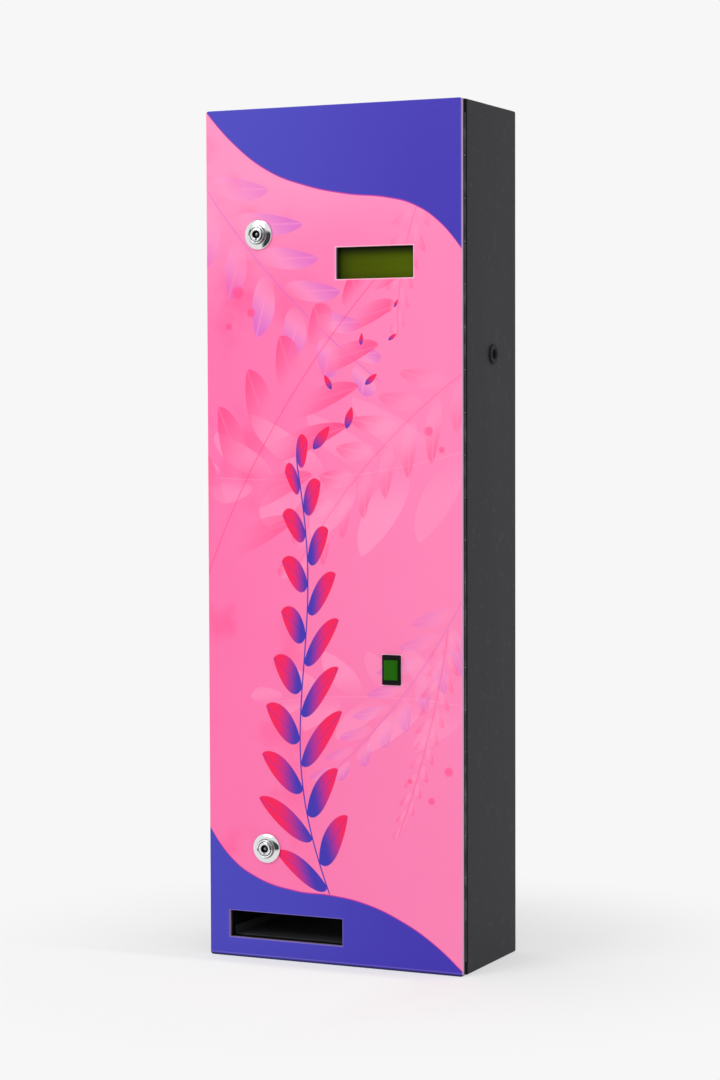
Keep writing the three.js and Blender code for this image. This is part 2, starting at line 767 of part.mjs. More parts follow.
// Guide rail under and beside the rack. Two notches in its wall let the switch levers reach the rack.
const switchLong = 20;
const switchTall = 10;
const switchThick = 6.4;
const tripInset = 2;
const frontSwitch = rackFront - ejectStroke + tripInset;
const rearSwitch = rackBack - tripInset - switchLong;
function rackGuide() {
  const wallLeft = rackRight + fit;
  const section = foldedSheet([
    [rackLeft, sheet + fit], [wallLeft + guideSheet, sheet + fit], [wallLeft + guideSheet, rackRoot],
  ], guideSheet, sheetBend);
  const shelf = frontal(
    rectangle(rackLeft, shelfTop - guideSheet, wallLeft + guideSheet / 2, shelfTop),
    trayFront, trayBack);
  const notches = [frontSwitch, rearSwitch].map(front => block(
    wallLeft - fit, wallLeft + guideSheet + fit, front - slack, front + switchLong + slack,
    rackLow, rackRoot + overrun));
  return cut(join([frontal(section, trayFront, trayBack), shelf]), notches);
}

// Gear motor on its bracket
const motorPlate = 2;
const motorBend = 1;
const plateMargin = 2.5;
const gearboxRadius = 18.5;
const gearboxLong = 24;
const gearboxEdge = 1.2;
const shaftOffset = 7;
const bossRadius = 6;
const bossLong = 3.2;
const motorRadius = 16.5;
const motorLong = 31;
const motorNeck = 2.5;
const endCapRadius = 13;
const endCapLong = 2.4;
const motorFoot = 22;
const bracketLeft = rackRight + guideSheet + 2 * fit;
const bracketRight = bracketLeft + motorPlate;
const gearboxLeft = bracketRight + fit;
const gearboxRight = gearboxLeft + gearboxLong;
const motorZ = pinionZ + shaftOffset;
function motorBracket() {
  const half = gearboxRadius + plateMargin;
  const low = sheet + fit;
  const section = foldedSheet([
    [bracketRight + motorFoot, low + motorPlate], [bracketRight, low + motorPlate],
    [bracketRight, motorZ + half],
  ], motorPlate, motorBend);
  const plate = frontal(section, pinionF - half, pinionF + half);
  const face = sideways(
    [...rectangle(pinionF - half, low - motorPlate, pinionF + half, motorZ).slice(2),
      ...arc(pinionF, motorZ, half, 0, Math.PI, plainFacets)],
    bracketLeft - overrun, bracketRight + motorFoot + overrun);
  const boss = sideways(
    circle(pinionF, pinionZ, bossRadius + fit, plainFacets), bracketLeft - overrun, bracketRight + fit);
  return cut(plate.intersect(face), [boss]);
}

function gearboxSolid() {
  const drum = turnedAcross([
    [0, gearboxLeft],
    [gearboxRadius - gearboxEdge, gearboxLeft],
    [gearboxRadius, gearboxLeft + gearboxEdge],
    [gearboxRadius, gearboxRight],
    [0, gearboxRight],
  ], pinionF, motorZ, fineFacets);
  const boss = sideways(
    circle(pinionF, pinionZ, bossRadius, plainFacets), gearboxLeft - bossLong, gearboxLeft + gearboxEdge);
  const bore = sideways(
    circle(pinionF, pinionZ, shaftRadius + boreGap, plainFacets),
    gearboxLeft - overrun, gearboxLeft + gearboxLong / 2);
  return cut(join([drum, boss]), [bore]);
}

function motorCan() {
  const left = gearboxRight + fit;
  const right = left + motorLong;
  return turnedAcross([
    [0, left],
    [motorRadius - gearboxEdge, left],
    [motorRadius - gearboxEdge, left + motorNeck],
    [motorRadius, left + motorNeck],
    [motorRadius, right - gearboxEdge],
    [motorRadius - gearboxEdge, right],
    [0, right],
  ], pinionF, motorZ, fineFacets);
}

const terminalWide = 5;
const terminalThick = 0.8;
const terminalLong = 6;
function motorEndCap() {
  const left = gearboxRight + motorLong + 2 * fit;
  const right = left + endCapLong;
  const cap = turnedAcross([
    [0, left], [endCapRadius, left], [endCapRadius, right - gearboxEdge],
    [endCapRadius - gearboxEdge, right], [0, right],
  ], pinionF, motorZ);
  const blades = [-1, 1].map(side => pinionF + side * endCapRadius / 2).map(middle => block(
    left + endCapLong / 2, right + terminalLong, middle - terminalWide / 2, middle + terminalWide / 2,
    motorZ, motorZ + terminalThick));
  return join([cap, ...blades]);
}

function driveShaft() {
  const left = rackLeft - fit;
  const flatEnd = gearboxLeft - bossLong - fit;
  const flatPart = sideways(shaftOutline(0), left, flatEnd);
  const roundPart = sideways(
    circle(pinionF, pinionZ, shaftRadius, plainFacets), flatEnd - fit, gearboxLeft + gearboxLong / 2 - fit);
  return join([flatPart, roundPart]);
}

// Microswitches that stop the rack at each end of its stroke. They lie on their sides, and the tips of
// their levers are drawn pressed, just off the side of the rack.
const leverThick = 0.5;
const leverReach = 1.5;
const pinLong = 3.5;
const pinWide = 0.8;
const pinShares = [0.15, 0.5, 0.85];
function limitSwitch(front, tipAtBack) {
  const left = rackRight + guideSheet + 2 * fit;
  const right = left + switchTall;
  const high = rackRoot - fit;
  const low = high - switchThick;
  const back = front + switchLong;
  const body = upright(rectangle(left, front, right, back, leverThick, smallFacets), low, high);
  const [root, tip] = tipAtBack ? [front + leverThick, back] : [back - leverThick, front];
  const lever = upright([
    new THREE.Vector2(left + leverThick, root),
    new THREE.Vector2(left - leverReach + leverThick, tip),
    new THREE.Vector2(left - leverReach, tip),
    new THREE.Vector2(left, root),
  ], rackLow + fit, high);
  const middle = (low + high) / 2;
  const pins = pinShares.map(share => block(
    left, right + pinLong, front + switchLong * share - pinWide, front + switchLong * share + pinWide,
    middle - pinWide / 2, middle + pinWide / 2));
  return join([body, lever, ...pins]);
}

// Power supply on the back wall, with a vented case and a screw terminal block
const supplyInset = 15;
const supplyLow = 118;
const supplyWide = 78;
const supplyLeft = caseWide - supplyInset - supplyWide;
const supplyTall = 110;
const supplyDeep = 36;
const recessTall = 18;
const recessDeep = 20;
const ventLong = 22;
const ventWide = 2.4;
const ventDeep = 1.5;
const ventPitch = 6;
const ventStart = 9;
const ventColumnShares = [1 / 3, 2 / 3];
function supplyCase() {
  const front = backIn - fit - supplyDeep;
  const right = supplyLeft + supplyWide;
  const high = supplyLow + supplyTall;
  const body = frontal(
    rectangle(supplyLeft, supplyLow, right, high, sheet, smallFacets), front, backIn - fit);
  const recess = block(
    supplyLeft + sheet, right - sheet, front - overrun, front + recessDeep,
    supplyLow - overrun, supplyLow + recessTall);
  const rows = Math.floor((supplyTall - recessTall - 2 * ventStart + ventPitch) / ventPitch);
  const vents = Array.from({ length: rows }, (_, i) => i * ventPitch).flatMap(rise =>
    ventColumnShares.map(share => {
      const middle = supplyLeft + supplyWide * share;
      const low = supplyLow + recessTall + ventStart + rise;
      return block(middle - ventLong / 2, middle + ventLong / 2, front - overrun, front + ventDeep,
        low, low + ventWide);
    }));
  return cut(body, [recess, ...vents]);
}

// A barrier strip: a base with walls between the screws. It is used by the supply and by the mains inlet.
const stripDeep = 12;
const stripBase = 6;
const stripRoot = 4;
const stripTall = 14;
const barrierWide = 1.4;
function barrierStrip(left, low, back, ways, wayWide) {
  const wide = ways * wayWide + barrierWide;
  const base = block(left, left + wide, back - stripBase, back, low, low + stripTall);
  const walls = Array.from({ length: ways + 1 }, (_, i) => block(
    left + i * wayWide, left + i * wayWide + barrierWide, back - stripDeep, back - stripRoot,
    low, low + stripTall));
  return join([base, ...walls]);
}

// Control board on a stand-off plate
const plateInset = 13;
const plateLowShare = 0.4;
const plateWide = 86;
const plateLeft = caseWide - plateInset - plateWide;
const plateLow = caseTall * plateLowShare;
const plateTall = 116;
const plateStand = 8;
const plateFootShare = 0.16;
const bossHeight = 6;
const bossSize = 3;
const boardInset = 3;
const bossInset = 5;
function boardPlate() {
  const right = plateLeft + plateWide;
  const foot = plateWide * plateFootShare;
  const section = foldedSheet(hatPath(
    plateLeft + foot, right - foot, foot, backIn - fit, backIn - fit - plateStand), sheet, sheetBend);
  return upright(section, plateLow, plateLow + plateTall);
}

const crownFront = backIn - fit - plateStand - sheet;
const controlFront = crownFront - bossHeight - boardThick;
function controlBoard() {
  const board = frontal(
    rectangle(plateLeft + boardInset, plateLow + boardInset,
      plateLeft + plateWide - boardInset, plateLow + plateTall - boardInset, boardInset / 2),
    controlFront, controlFront + boardThick);
  const across = [plateLeft + plateWide * plateFootShare + bossInset,
    plateLeft + plateWide * (1 - plateFootShare) - bossInset];
  const up = [plateLow + bossInset + boardInset, plateLow + plateTall - bossInset - boardInset];
  const posts = across.flatMap(u => up.map(z => frontal(
    circle(u, z, bossSize, smallFacets), controlFront + boardThick / 2, crownFront - fit)));
  return join([board, ...posts]);
}

const relayWide = 15.5;
const relayTall = 19;
const relayDeep = 15;
const chipSize = 14;
const chipDeep = 2.2;
const chipEdge = 0.3;
const capacitorRadius = 6.3;
const capacitorLong = 16;
const connectorTall = 9;
const connectorDeep = 11;
const mouthSize = 4.5;
const mouthDeep = 5.5;
const relayEdge = 0.8;
const relayShares = [0.24, 0.5];
const relayHeightShare = 0.14;
const chipShare = 0.3;
const chipHeightShare = 0.56;
const capacitorShare = 0.8;
const capacitorHeightShare = 0.26;
const connectorShare = 0.12;
const connectorHeightShare = 0.84;
function onBoard(shareAcross, shareUp) {
  return [plateLeft + plateWide * shareAcross, plateLow + plateTall * shareUp];
}

function boardParts() {
  const seat = controlFront - fit;
  const relays = relayShares.map((share, i) => {
    const [u, z] = onBoard(share, relayHeightShare);
    const half = relayWide / 2;
    const solid = frontal(
      rectangle(u - half, z, u + half, z + relayTall), seat - relayDeep, seat, [], relayEdge);
    return piece(i === 0 ? 'motor_relay' : 'reverse_relay', relayBlue, solid);
  });
  const [chipU, chipZ] = onBoard(chipShare, chipHeightShare);
  const chip = frontal(
    rectangle(chipU, chipZ, chipU + chipSize, chipZ + chipSize), seat - chipDeep, seat, [], chipEdge);
  const [canU, canZ] = onBoard(capacitorShare, capacitorHeightShare);
  const can = frontal(
    circle(canU, canZ, capacitorRadius, plainFacets), seat - capacitorLong, seat, [], relayEdge);
  const [rowU, rowZ] = onBoard(connectorShare, connectorHeightShare);
  const rowWide = plateWide * (1 - 2 * connectorShare);
  const ways = Math.floor(rowWide / connectorTall);
  const row = frontal(
    rectangle(rowU, rowZ, rowU + rowWide, rowZ + connectorTall), seat - connectorDeep, seat);
  const mouthLow = rowZ + (connectorTall - mouthSize) / 2;
  const mouths = Array.from({ length: ways }, (_, i) => {
    const left = rowU + (i + 0.5) * rowWide / ways - mouthSize / 2;
    return block(left, left + mouthSize, seat - connectorDeep - overrun,
      seat - connectorDeep + mouthDeep, mouthLow, mouthLow + mouthSize);
  });
  return [
    ...relays,
    piece('control_chip', blackPlastic, chip),
    piece('supply_capacitor', blackPlastic, can),
    piece('wiring_connector', connectorGreen, cut(row, mouths)),
  ];
}

// Cam lock, drawn about its own axis. The plug and cam turn in the barrel.
const lockFlangeRadius = 13.25;
const lockFlangeEdge = 0.8;
const lockDome = 3.2;
const lockRingRadius = 7.9;
const lockProud = 5.6;
const lockRingEdge = 0.6;
const lockNutAcross = 24;
const lockNutLong = 4;
const domeSteps = 4;
const plugSink = 0.5;
const keyRadius = 3.2;
const keyLong = 5.4;
const keyHalf = 0.9;
const keyDeep = 4.5;
const tangHalf = 3.2;
const camHub = 9;
const camTip = 5.5;
const camHook = 6;
const camNutAcross = 9;
const camNutLong = 3;
const tangStudRadius = 2;
function lockBody() {
  const inner = plugRadius + fit;
  const end = camFront - fit;
  const seat = -fit;
  const domeStart = new THREE.Vector2(lockFlangeRadius, seat - lockFlangeEdge);
  const domeEnd = new THREE.Vector2(lockRingRadius + lockRingEdge, -lockDome);
  const domeBend = new THREE.Vector2(lockFlangeRadius - lockFlangeEdge, -lockDome);
  const dome = new THREE.QuadraticBezierCurve(domeEnd, domeBend, domeStart).getPoints(domeSteps);
  const body = turnedBack([
    [inner, -lockProud + lockRingEdge],
    [inner + lockRingEdge, -lockProud],
    [lockRingRadius - lockRingEdge, -lockProud],
    [lockRingRadius, -lockProud + lockRingEdge],
    [lockRingRadius, -lockDome],
    ...dome.map(point => [point.x, point.y]),
    [lockFlangeRadius, seat],
    [barrelRadius, seat],
    [barrelRadius, end],
    [inner, end],
    [inner, -lockProud + lockRingEdge],
  ]);
  const beyond = barrelRadius + overrun;
  const flats = [[-beyond, -barrelFlat], [barrelFlat, beyond]].map(([left, right]) =>
    block(left, right, seat, end + overrun, -beyond, beyond));
  return cut(body, flats);
}

function lockPlug() {
  const front = -lockProud + plugSink;
  const end = camFront - fit;
  const plug = turnedBack([
    [0, front], [plugRadius - lockRingEdge, front], [plugRadius, front + lockRingEdge],
    [plugRadius, end], [0, end],
  ]);
  const tang = frontal(
    rectangle(-tangHalf, -tangHalf, tangHalf, tangHalf), end - fit, camFront + camThick - fit);
  const stud = frontal(
    circle(0, 0, tangStudRadius, smallFacets), end, camFront + camThick + camNutLong + 2 * fit);
  const keyway = frontal([
    ...arc(0, 0, keyRadius, -Math.PI / 2 + Math.asin(keyHalf / keyRadius),
      1.5 * Math.PI - Math.asin(keyHalf / keyRadius), plainFacets),
    new THREE.Vector2(-keyHalf, -keyLong),
    new THREE.Vector2(keyHalf, -keyLong),
  ], front - overrun, front + keyDeep);
  return cut(join([plug, tang, stud]), [keyway]);
}

function lockCam(reach) {
  const hole = rectangle(-tangHalf - fit, -tangHalf - fit, tangHalf + fit, tangHalf + fit);
  return frontal(taperedLink(reach, camHub, camTip), camFront, camFront + camThick, [hole]);
}

function lockNut() {
  const seat = doorBack + fit;
  return frontal(
    hexagon(lockNutAcross), seat, seat + lockNutLong,
    [flatted(0, 0, barrelRadius + fit, barrelFlat + fit, plainFacets)]);
}

function camNut() {
  const seat = camFront + camThick + fit;
  return frontal(
    hexagon(camNutAcross), seat, seat + camNutLong, [circle(0, 0, tangStudRadius + fit, smallFacets)]);
}

function camLock(side, u, z) {
  const reach = u - latchFlange + camHook;
  return group([
    piece(`${side}_lock_body`, chrome, lockBody()),
    piece(`${side}_lock_nut`, zincSteel, lockNut()),
    piece(`${side}_lock_plug`, chrome, lockPlug()),
    piece(`${side}_lock_cam`, zincSteel, lockCam(reach)),
    piece(`${side}_lock_cam_nut`, brass, camNut()),
  ], u, 0, z);
}

// Push-button, drawn about the middle of its cap: a cap with a retaining foot in a snap-in housing
const capWide = 12.9;
const capTall = 17.4;
const capProud = 4;
const capChamfer = 0.8;
const capFront = 6;
const capFootTall = 20.6;
const capFootLong = 2.5;
const bezelProud = 1.6;
const bezelEdge = 0.5;
const springRoom = 5;
const housingLong = capFront + capFootLong + buttonStroke + springRoom;
const blockLong = 12;
const blockFlange = 2;
const springRadius = 4;
const springWire = 0.45;
const springTurns = 4;
const springSteps = 10;
const bladeSpread = 7;
function centred(wide, tall) {
  return rectangle(-wide / 2, -tall / 2, wide / 2, tall / 2);
}

function buttonHousing() {
  const seat = -fit;
  const sideWide = bezelWide - 2 * bezelLip;
  const sideTall = bezelTall - 2 * bezelLip;
  const bezel = frontal(centred(bezelWide, bezelTall), -bezelProud, seat, [], bezelEdge);
  const sleeve = frontal(centred(sideWide, sideTall), seat - bezelEdge, housingLong);
  const mouth = frontal(centred(capWide + 2 * fit, capTall + 2 * fit), -overrun, capFront);
  const cavity = frontal(
    centred(capWide + 2 * fit, capFootTall + 2 * fit), capFront - fit, housingLong + overrun);
  return cut(join([bezel, sleeve]), [mouth, cavity]);
}

function buttonCap() {
  const cap = frontal(centred(capWide, capTall), -capProud, capFront + sheet, [], capChamfer);
  const foot = frontal(centred(capWide, capFootTall), capFront, capFront + capFootLong);
  return join([cap, foot]);
}

function buttonContacts() {
  const seat = housingLong + fit;
  const sideWide = bezelWide - 2 * bezelLip;
  const sideTall = bezelTall - 2 * bezelLip;
  const body = frontal(centred(sideWide, sideTall), seat, seat + blockLong, [], bezelEdge);
  const plungerSeat = frontal(
    circle(0, 0, springRadius - springWire - fit, plainFacets), seat - blockFlange, seat + 2 * bezelEdge);
  const blades = [-1, 1].map(side => block(
    -terminalWide / 2, terminalWide / 2, seat + blockLong / 2, seat + blockLong + terminalLong,
    side * bladeSpread - terminalThick / 2, side * bladeSpread + terminalThick / 2));
  return join([body, plungerSeat, ...blades]);
}

// The spring is one tube wound on a helix between the foot of the cap and the contact block
class Helix extends THREE.Curve {
  getPoint(share, target = new THREE.Vector3()) {
    const start = capFront + capFootLong + fit + springWire;
    const end = housingLong - springWire;
    const angle = share * springTurns * 2 * Math.PI;
    return target.set(
      springRadius * Math.cos(angle), start + (end - start) * share, springRadius * Math.sin(angle));
  }
}

function buttonSpring() {
  const section = new THREE.Shape(circle(0, 0, springWire, wireFacets));
  return toSolid(new THREE.ExtrudeGeometry(section, {
    steps: springTurns * springSteps, bevelEnabled: false, extrudePath: new Helix(),
  }));
}

const buttonGroup = group([
  piece('button_housing', blackPlastic, buttonHousing()),
  piece('button_cap', greenPlastic, buttonCap()),
  piece('button_spring', springSteel, buttonSpring()),
  piece('button_contacts', blackPlastic, buttonContacts()),
], buttonU, 0, buttonZ);

const doorGroup = group([
  piece('fascia_panel', printedFascia, fasciaPanel()),
  piece('door_panel', darkPaint, doorPanel()),
  piece('door_frame', darkPaint, doorFrame()),
  piece('hinge_leaf_door', darkPaint, hingeHalfSolid(-1, 0)),
  piece('slot_liner', blackPlastic, slotLiner()),
  ...displayParts(),
  camLock('upper', upperLockU, upperLockZ),
  camLock('lower', lowerLockU, lowerLockZ),
  buttonGroup,
]);

const [lowerBracket, upperBracket] = bracketLevelShares.map(share =>
  magazineLow + (magazineTop - magazineLow) * share);
const [frontRiser, rearRiser] = riserShares.map(share => trayFront + (trayBack - trayFront) * share);
const magazineGroup = group([
  piece('magazine_channel', zincSteel, magazineChannel()),
  piece('lower_magazine_bracket', zincSteel, magazineBracket(lowerBracket)),
  piece('upper_magazine_bracket', zincSteel, magazineBracket(upperBracket)),
  piece('dispense_tray', darkPaint, dispenseTray()),
  piece('front_tray_riser', zincSteel, trayRiser(frontRiser)),
  piece('rear_tray_riser', zincSteel, trayRiser(rearRiser)),
  piece('delivery_chute', blackPlastic, deliveryChute()),
  piece('follower_plate', zincSteel, followerPlate()),
  piece('follower_weight', springSteel, followerWeight()),
]);

const ejectorGroup = group([
  piece('rack_guide', zincSteel, rackGuide()),
  piece('eject_rack', acetal, ejectRack()),
  piece('pusher_plate', zincSteel, pusherPlate()),
  piece('drive_pinion', acetal, drivePinion()),
  piece('drive_shaft', springSteel, driveShaft()),
  piece('motor_bracket', zincSteel, motorBracket()),
  piece('gearbox', zincSteel, gearboxSolid()),
  piece('motor_can', springSteel, motorCan()),
  piece('motor_end_cap', blackPlastic, motorEndCap()),
  piece('front_limit_switch', blackPlastic, limitSwitch(frontSwitch, false)),
  piece('rear_limit_switch', blackPlastic, limitSwitch(rearSwitch, true)),
]);

const supplyWayWide = 9;
const inletInset = 69;
const inletDrop = 29.5;
const inletLeft = caseWide - inletInset;
const inletLow = grommetZ - inletDrop;
const inletWayWide = 11;
const inletWays = 3;
const supplyWays = Math.floor((supplyWide - 2 * supplyWayWide) / supplyWayWide);
const electricsGroup = group([
  piece('power_supply_case', zincSteel, supplyCase()),
  piece('power_supply_terminals', blackPlastic, barrierStrip(
    supplyLeft + supplyWayWide, supplyLow + sheet, backIn - fit - supplyDeep + recessDeep - fit,
    supplyWays, supplyWayWide)),
  piece('mains_terminals', blackPlastic, barrierStrip(
    inletLeft, inletLow, backIn - fit, inletWays, inletWayWide)),
  piece('board_plate', zincSteel, boardPlate()),
  piece('control_board', boardGreen, controlBoard()),
  ...boardParts(),
]);

const cabinetGroup = group([
  piece('cabinet_shell', darkPaint, cabinetShell()),
  piece('cabinet_frame', darkPaint, cabinetFrame()),
  piece('cable_grommet', blackRubber, cableGrommet()),
  piece('hinge_leaf_cabinet', darkPaint, hingeHalfSolid(1, 1)),
  piece('hinge_pin', springSteel, hingePin()),
]);

const machine = group(
  [cabinetGroup, doorGroup, magazineGroup, ejectorGroup, electricsGroup],
  -caseWide / 2, -caseDeep / 2, 0);

export default new THREE.Group().add(machine);
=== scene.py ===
# %% [markdown]
# # A wall-mounted vending machine for folded pads
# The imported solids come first: they hold every size, and nothing here moves them. The cells below give
# each solid its finish, rebuild the small turned and moulded pieces more finely, and add screws, rivets
# and board parts. The machine's own sizes are millimetres, and MM turns them into metres. Camera, floor,
# lamps and the inputs of node trees are in metres.

import json
import math

import bmesh
import bpy
from mathutils import Matrix, Vector

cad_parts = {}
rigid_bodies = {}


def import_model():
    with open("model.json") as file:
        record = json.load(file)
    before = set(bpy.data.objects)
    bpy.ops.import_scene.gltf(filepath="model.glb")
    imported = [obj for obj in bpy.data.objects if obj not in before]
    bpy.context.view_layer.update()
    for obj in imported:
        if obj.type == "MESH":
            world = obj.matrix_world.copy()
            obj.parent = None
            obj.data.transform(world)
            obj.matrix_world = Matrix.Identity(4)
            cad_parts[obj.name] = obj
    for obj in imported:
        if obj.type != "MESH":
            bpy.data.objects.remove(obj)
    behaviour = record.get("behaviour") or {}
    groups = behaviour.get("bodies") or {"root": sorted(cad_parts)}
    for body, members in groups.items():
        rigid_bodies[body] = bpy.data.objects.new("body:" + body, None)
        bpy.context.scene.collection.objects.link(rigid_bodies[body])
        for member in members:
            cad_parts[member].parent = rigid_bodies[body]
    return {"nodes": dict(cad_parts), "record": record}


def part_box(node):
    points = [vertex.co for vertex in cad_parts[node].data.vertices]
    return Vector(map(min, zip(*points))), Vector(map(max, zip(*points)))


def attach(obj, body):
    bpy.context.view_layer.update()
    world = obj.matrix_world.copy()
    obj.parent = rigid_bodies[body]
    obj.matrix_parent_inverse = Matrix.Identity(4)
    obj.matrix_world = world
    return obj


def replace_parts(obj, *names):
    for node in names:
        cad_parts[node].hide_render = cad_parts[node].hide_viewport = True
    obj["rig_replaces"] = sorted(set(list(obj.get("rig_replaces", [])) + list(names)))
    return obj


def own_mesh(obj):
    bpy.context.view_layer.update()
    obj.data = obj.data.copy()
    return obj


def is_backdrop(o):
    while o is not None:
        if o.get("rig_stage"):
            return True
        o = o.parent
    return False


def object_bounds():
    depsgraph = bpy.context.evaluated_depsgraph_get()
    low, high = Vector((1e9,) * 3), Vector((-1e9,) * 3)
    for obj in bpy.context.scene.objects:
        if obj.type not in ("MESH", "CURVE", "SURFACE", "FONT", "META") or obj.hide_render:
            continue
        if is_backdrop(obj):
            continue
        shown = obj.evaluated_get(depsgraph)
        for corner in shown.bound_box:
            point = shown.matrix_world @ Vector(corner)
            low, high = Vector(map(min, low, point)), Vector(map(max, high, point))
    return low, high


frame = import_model()
solid_low, solid_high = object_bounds()
MM = 0.001
MIDDLE_U = 122.5
MIDDLE_F = 61.0
print("solids from", [round(v / MM, 1) for v in solid_low], "to", [round(v / MM, 1) for v in solid_high])

# %% [markdown]
# ## Where things are
# The machine is drawn with u to the right, f from the front face back and z up, from its lower left
# front corner. The shared frame has its origin under the middle. One function turns a place in the
# machine's sizes into the frame's metres, and another reads a solid's box back the same way.

# %% Places in the machine's own sizes
def at(u, f, z):
    """A point of the shared frame, in metres, from the machine's u, f and z in millimetres."""
    return Vector(((u - MIDDLE_U) * MM, (f - MIDDLE_F) * MM, z * MM))


def box_of(node):
    """The least and greatest u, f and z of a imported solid, in millimetres."""
    low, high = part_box(node)
    shift = Vector((MIDDLE_U, MIDDLE_F, 0))
    return low / MM + shift, high / MM + shift


def middle_of(node):
    low, high = box_of(node)
    return (low + high) / 2


record = frame["record"]
body_of = {node: body for body, nodes in record["behaviour"]["bodies"].items() for node in nodes}
slot_of = {part["node"]: part["material_slot"] for part in record["subparts"]}

# %% [markdown]
# ## The camera
# A photograph of a box shows its own camera: how fast the visible sides shrink gives the distance, and
# how far the uprights lean gives the tilt. These numbers were worked out from the corners of the case.
# The picture is upright, so the 36 mm sensor lies on its long side.

# %% Camera
EYE = Vector((1.0062, -2.1644, 0.4845))
SIGHT = Vector((-0.42179, 0.90544, -0.04765))
ROLL_DEGREES = 0.18
LENS = 89.39
SENSOR = 36.0
SEE_AS_FAR = 60

camera_data = bpy.data.cameras.new("camera")
camera_data.sensor_fit = "AUTO"
camera_data.sensor_width = SENSOR
camera_data.lens = LENS
camera_data.clip_end = SEE_AS_FAR
camera = bpy.data.objects.new("camera", camera_data)
bpy.context.scene.collection.objects.link(camera)
turn = SIGHT.to_track_quat("-Z", "Y").to_matrix().to_4x4()
roll = Matrix.Rotation(math.radians(-ROLL_DEGREES), 4, "Z")
camera.matrix_world = Matrix.Translation(EYE) @ turn @ roll
bpy.context.scene.camera = camera
bpy.context.scene.view_settings.view_transform = "Standard"
print("camera", round(EYE.length, 2), "m from the foot of the machine")

# %% [markdown]
# ## Writing node trees as sums
# A finish is easier to read as arithmetic than as nodes and wires. Graph has one method that adds a
# node: its type, what its sockets hold, and its settings. Value wraps a socket, and a sum or a product
# of values adds the Math node for it. Both serve shaders and Geometry Nodes alike.

# %% Node trees
def socket_of(sockets, key):
    """A socket by its number, or the one in use that has this name."""
    if isinstance(key, int):
        return sockets[key]
    return next(s for s in sockets if s.name == key.replace("_", " ") and s.enabled)


def forward(operation):
    return lambda self, other: self.math(operation, other)


def reflected(operation):
    return lambda self, other: self.graph.node("Math", other, self, how={"operation": operation})


class Value:
    """One output socket. Arithmetic on it adds Math nodes, and value["X"] is another output of its node."""

    def __init__(self, graph, socket):
        self.graph = graph
        self.socket = socket

    def __getitem__(self, name):
        return Value(self.graph, socket_of(self.socket.node.outputs, name))

    def __abs__(self):
        return self.math("ABSOLUTE")

    __add__, __radd__ = forward("ADD"), reflected("ADD")
    __sub__, __rsub__ = forward("SUBTRACT"), reflected("SUBTRACT")
    __mul__, __truediv__, __pow__ = forward("MULTIPLY"), forward("DIVIDE"), forward("POWER")

    def math(self, operation, *others):
        return self.graph.node("Math", self, *others, how={"operation": operation})

    def axes(self):
        """The X, Y and Z of a vector."""
        split = self.graph.node("SeparateXYZ", self)
        return [split[axis] for axis in "XYZ"]

    def step(self, low, high):
        """0 below low and 1 above high, with a soft step between them."""
        return self.graph.node("MapRange", Value=self, From_Min=low, From_Max=high,
                               how={"interpolation_type": "SMOOTHSTEP"})


# %% Adding nodes
class Graph:
    """A node tree that is built by calls."""

    PREFIXES = ("ShaderNode", "GeometryNode", "FunctionNode")

    def __init__(self, tree):
        self.tree = tree

    def node(self, kind, *numbered, how=None, **named):
        """Adds a node and gives its first output. Sockets come in order, or by name with _ for a space."""
        full = next(prefix + kind for prefix in self.PREFIXES if hasattr(bpy.types, prefix + kind))
        made = self.tree.nodes.new(full)
        for name, value in (how or {}).items():
            if name == "points":
                set_points(made.mapping, value)
            else:
                setattr(made, name, value)
        for key, value in [*enumerate(numbered), *named.items()]:
            self.feed(socket_of(made.inputs, key), value)
        return Value(self, next(s for s in made.outputs if s.enabled))

    def feed(self, socket, value):
        if isinstance(value, Value):
            self.tree.links.new(value.socket, socket)
        elif socket.type == "RGBA" and len(value) == 3:
            socket.default_value = (*value, 1)
        else:
            socket.default_value = value


def set_points(mapping, points):
    line = mapping.curves[0]
    for _ in points[2:]:
        line.points.new(0.5, 0.5)
    for point, place in zip(line.points, points):
        point.location = place
    mapping.update()


def least(first, second):
    return first.math("MINIMUM", second)


def most(first, second):
    return first.math("MAXIMUM", second)


def mix(share, first, second):
    return share.graph.node("Mix", Factor=share, A=first, B=second, how={"data_type": "RGBA"})


def bump(height, depth, **under):
    """A normal from a height of 0 to 1 that stands for this depth in millimetres."""
    return height.graph.node("Bump", Height=height, Distance=depth * MM, Strength=1.0, **under)


# %% [markdown]
# ## What every finish shares
# Real surfaces differ from flat colour in the same few ways: slow drifts of tone, fine grain, and edges
# that hands and tools have rubbed. Finish adds these as short methods. They all read Object
# coordinates, so a pattern stays on its piece when the door swings.

# %% Finishes
def paint(red, green, blue):
    """A screen colour, 0 to 255 each, as the linear shares that shaders use."""
    shares = [v / 255 for v in (red, green, blue)]
    return tuple(s / 12.92 if s <= 0.04045 else ((s + 0.055) / 1.055) ** 2.4 for s in shares)


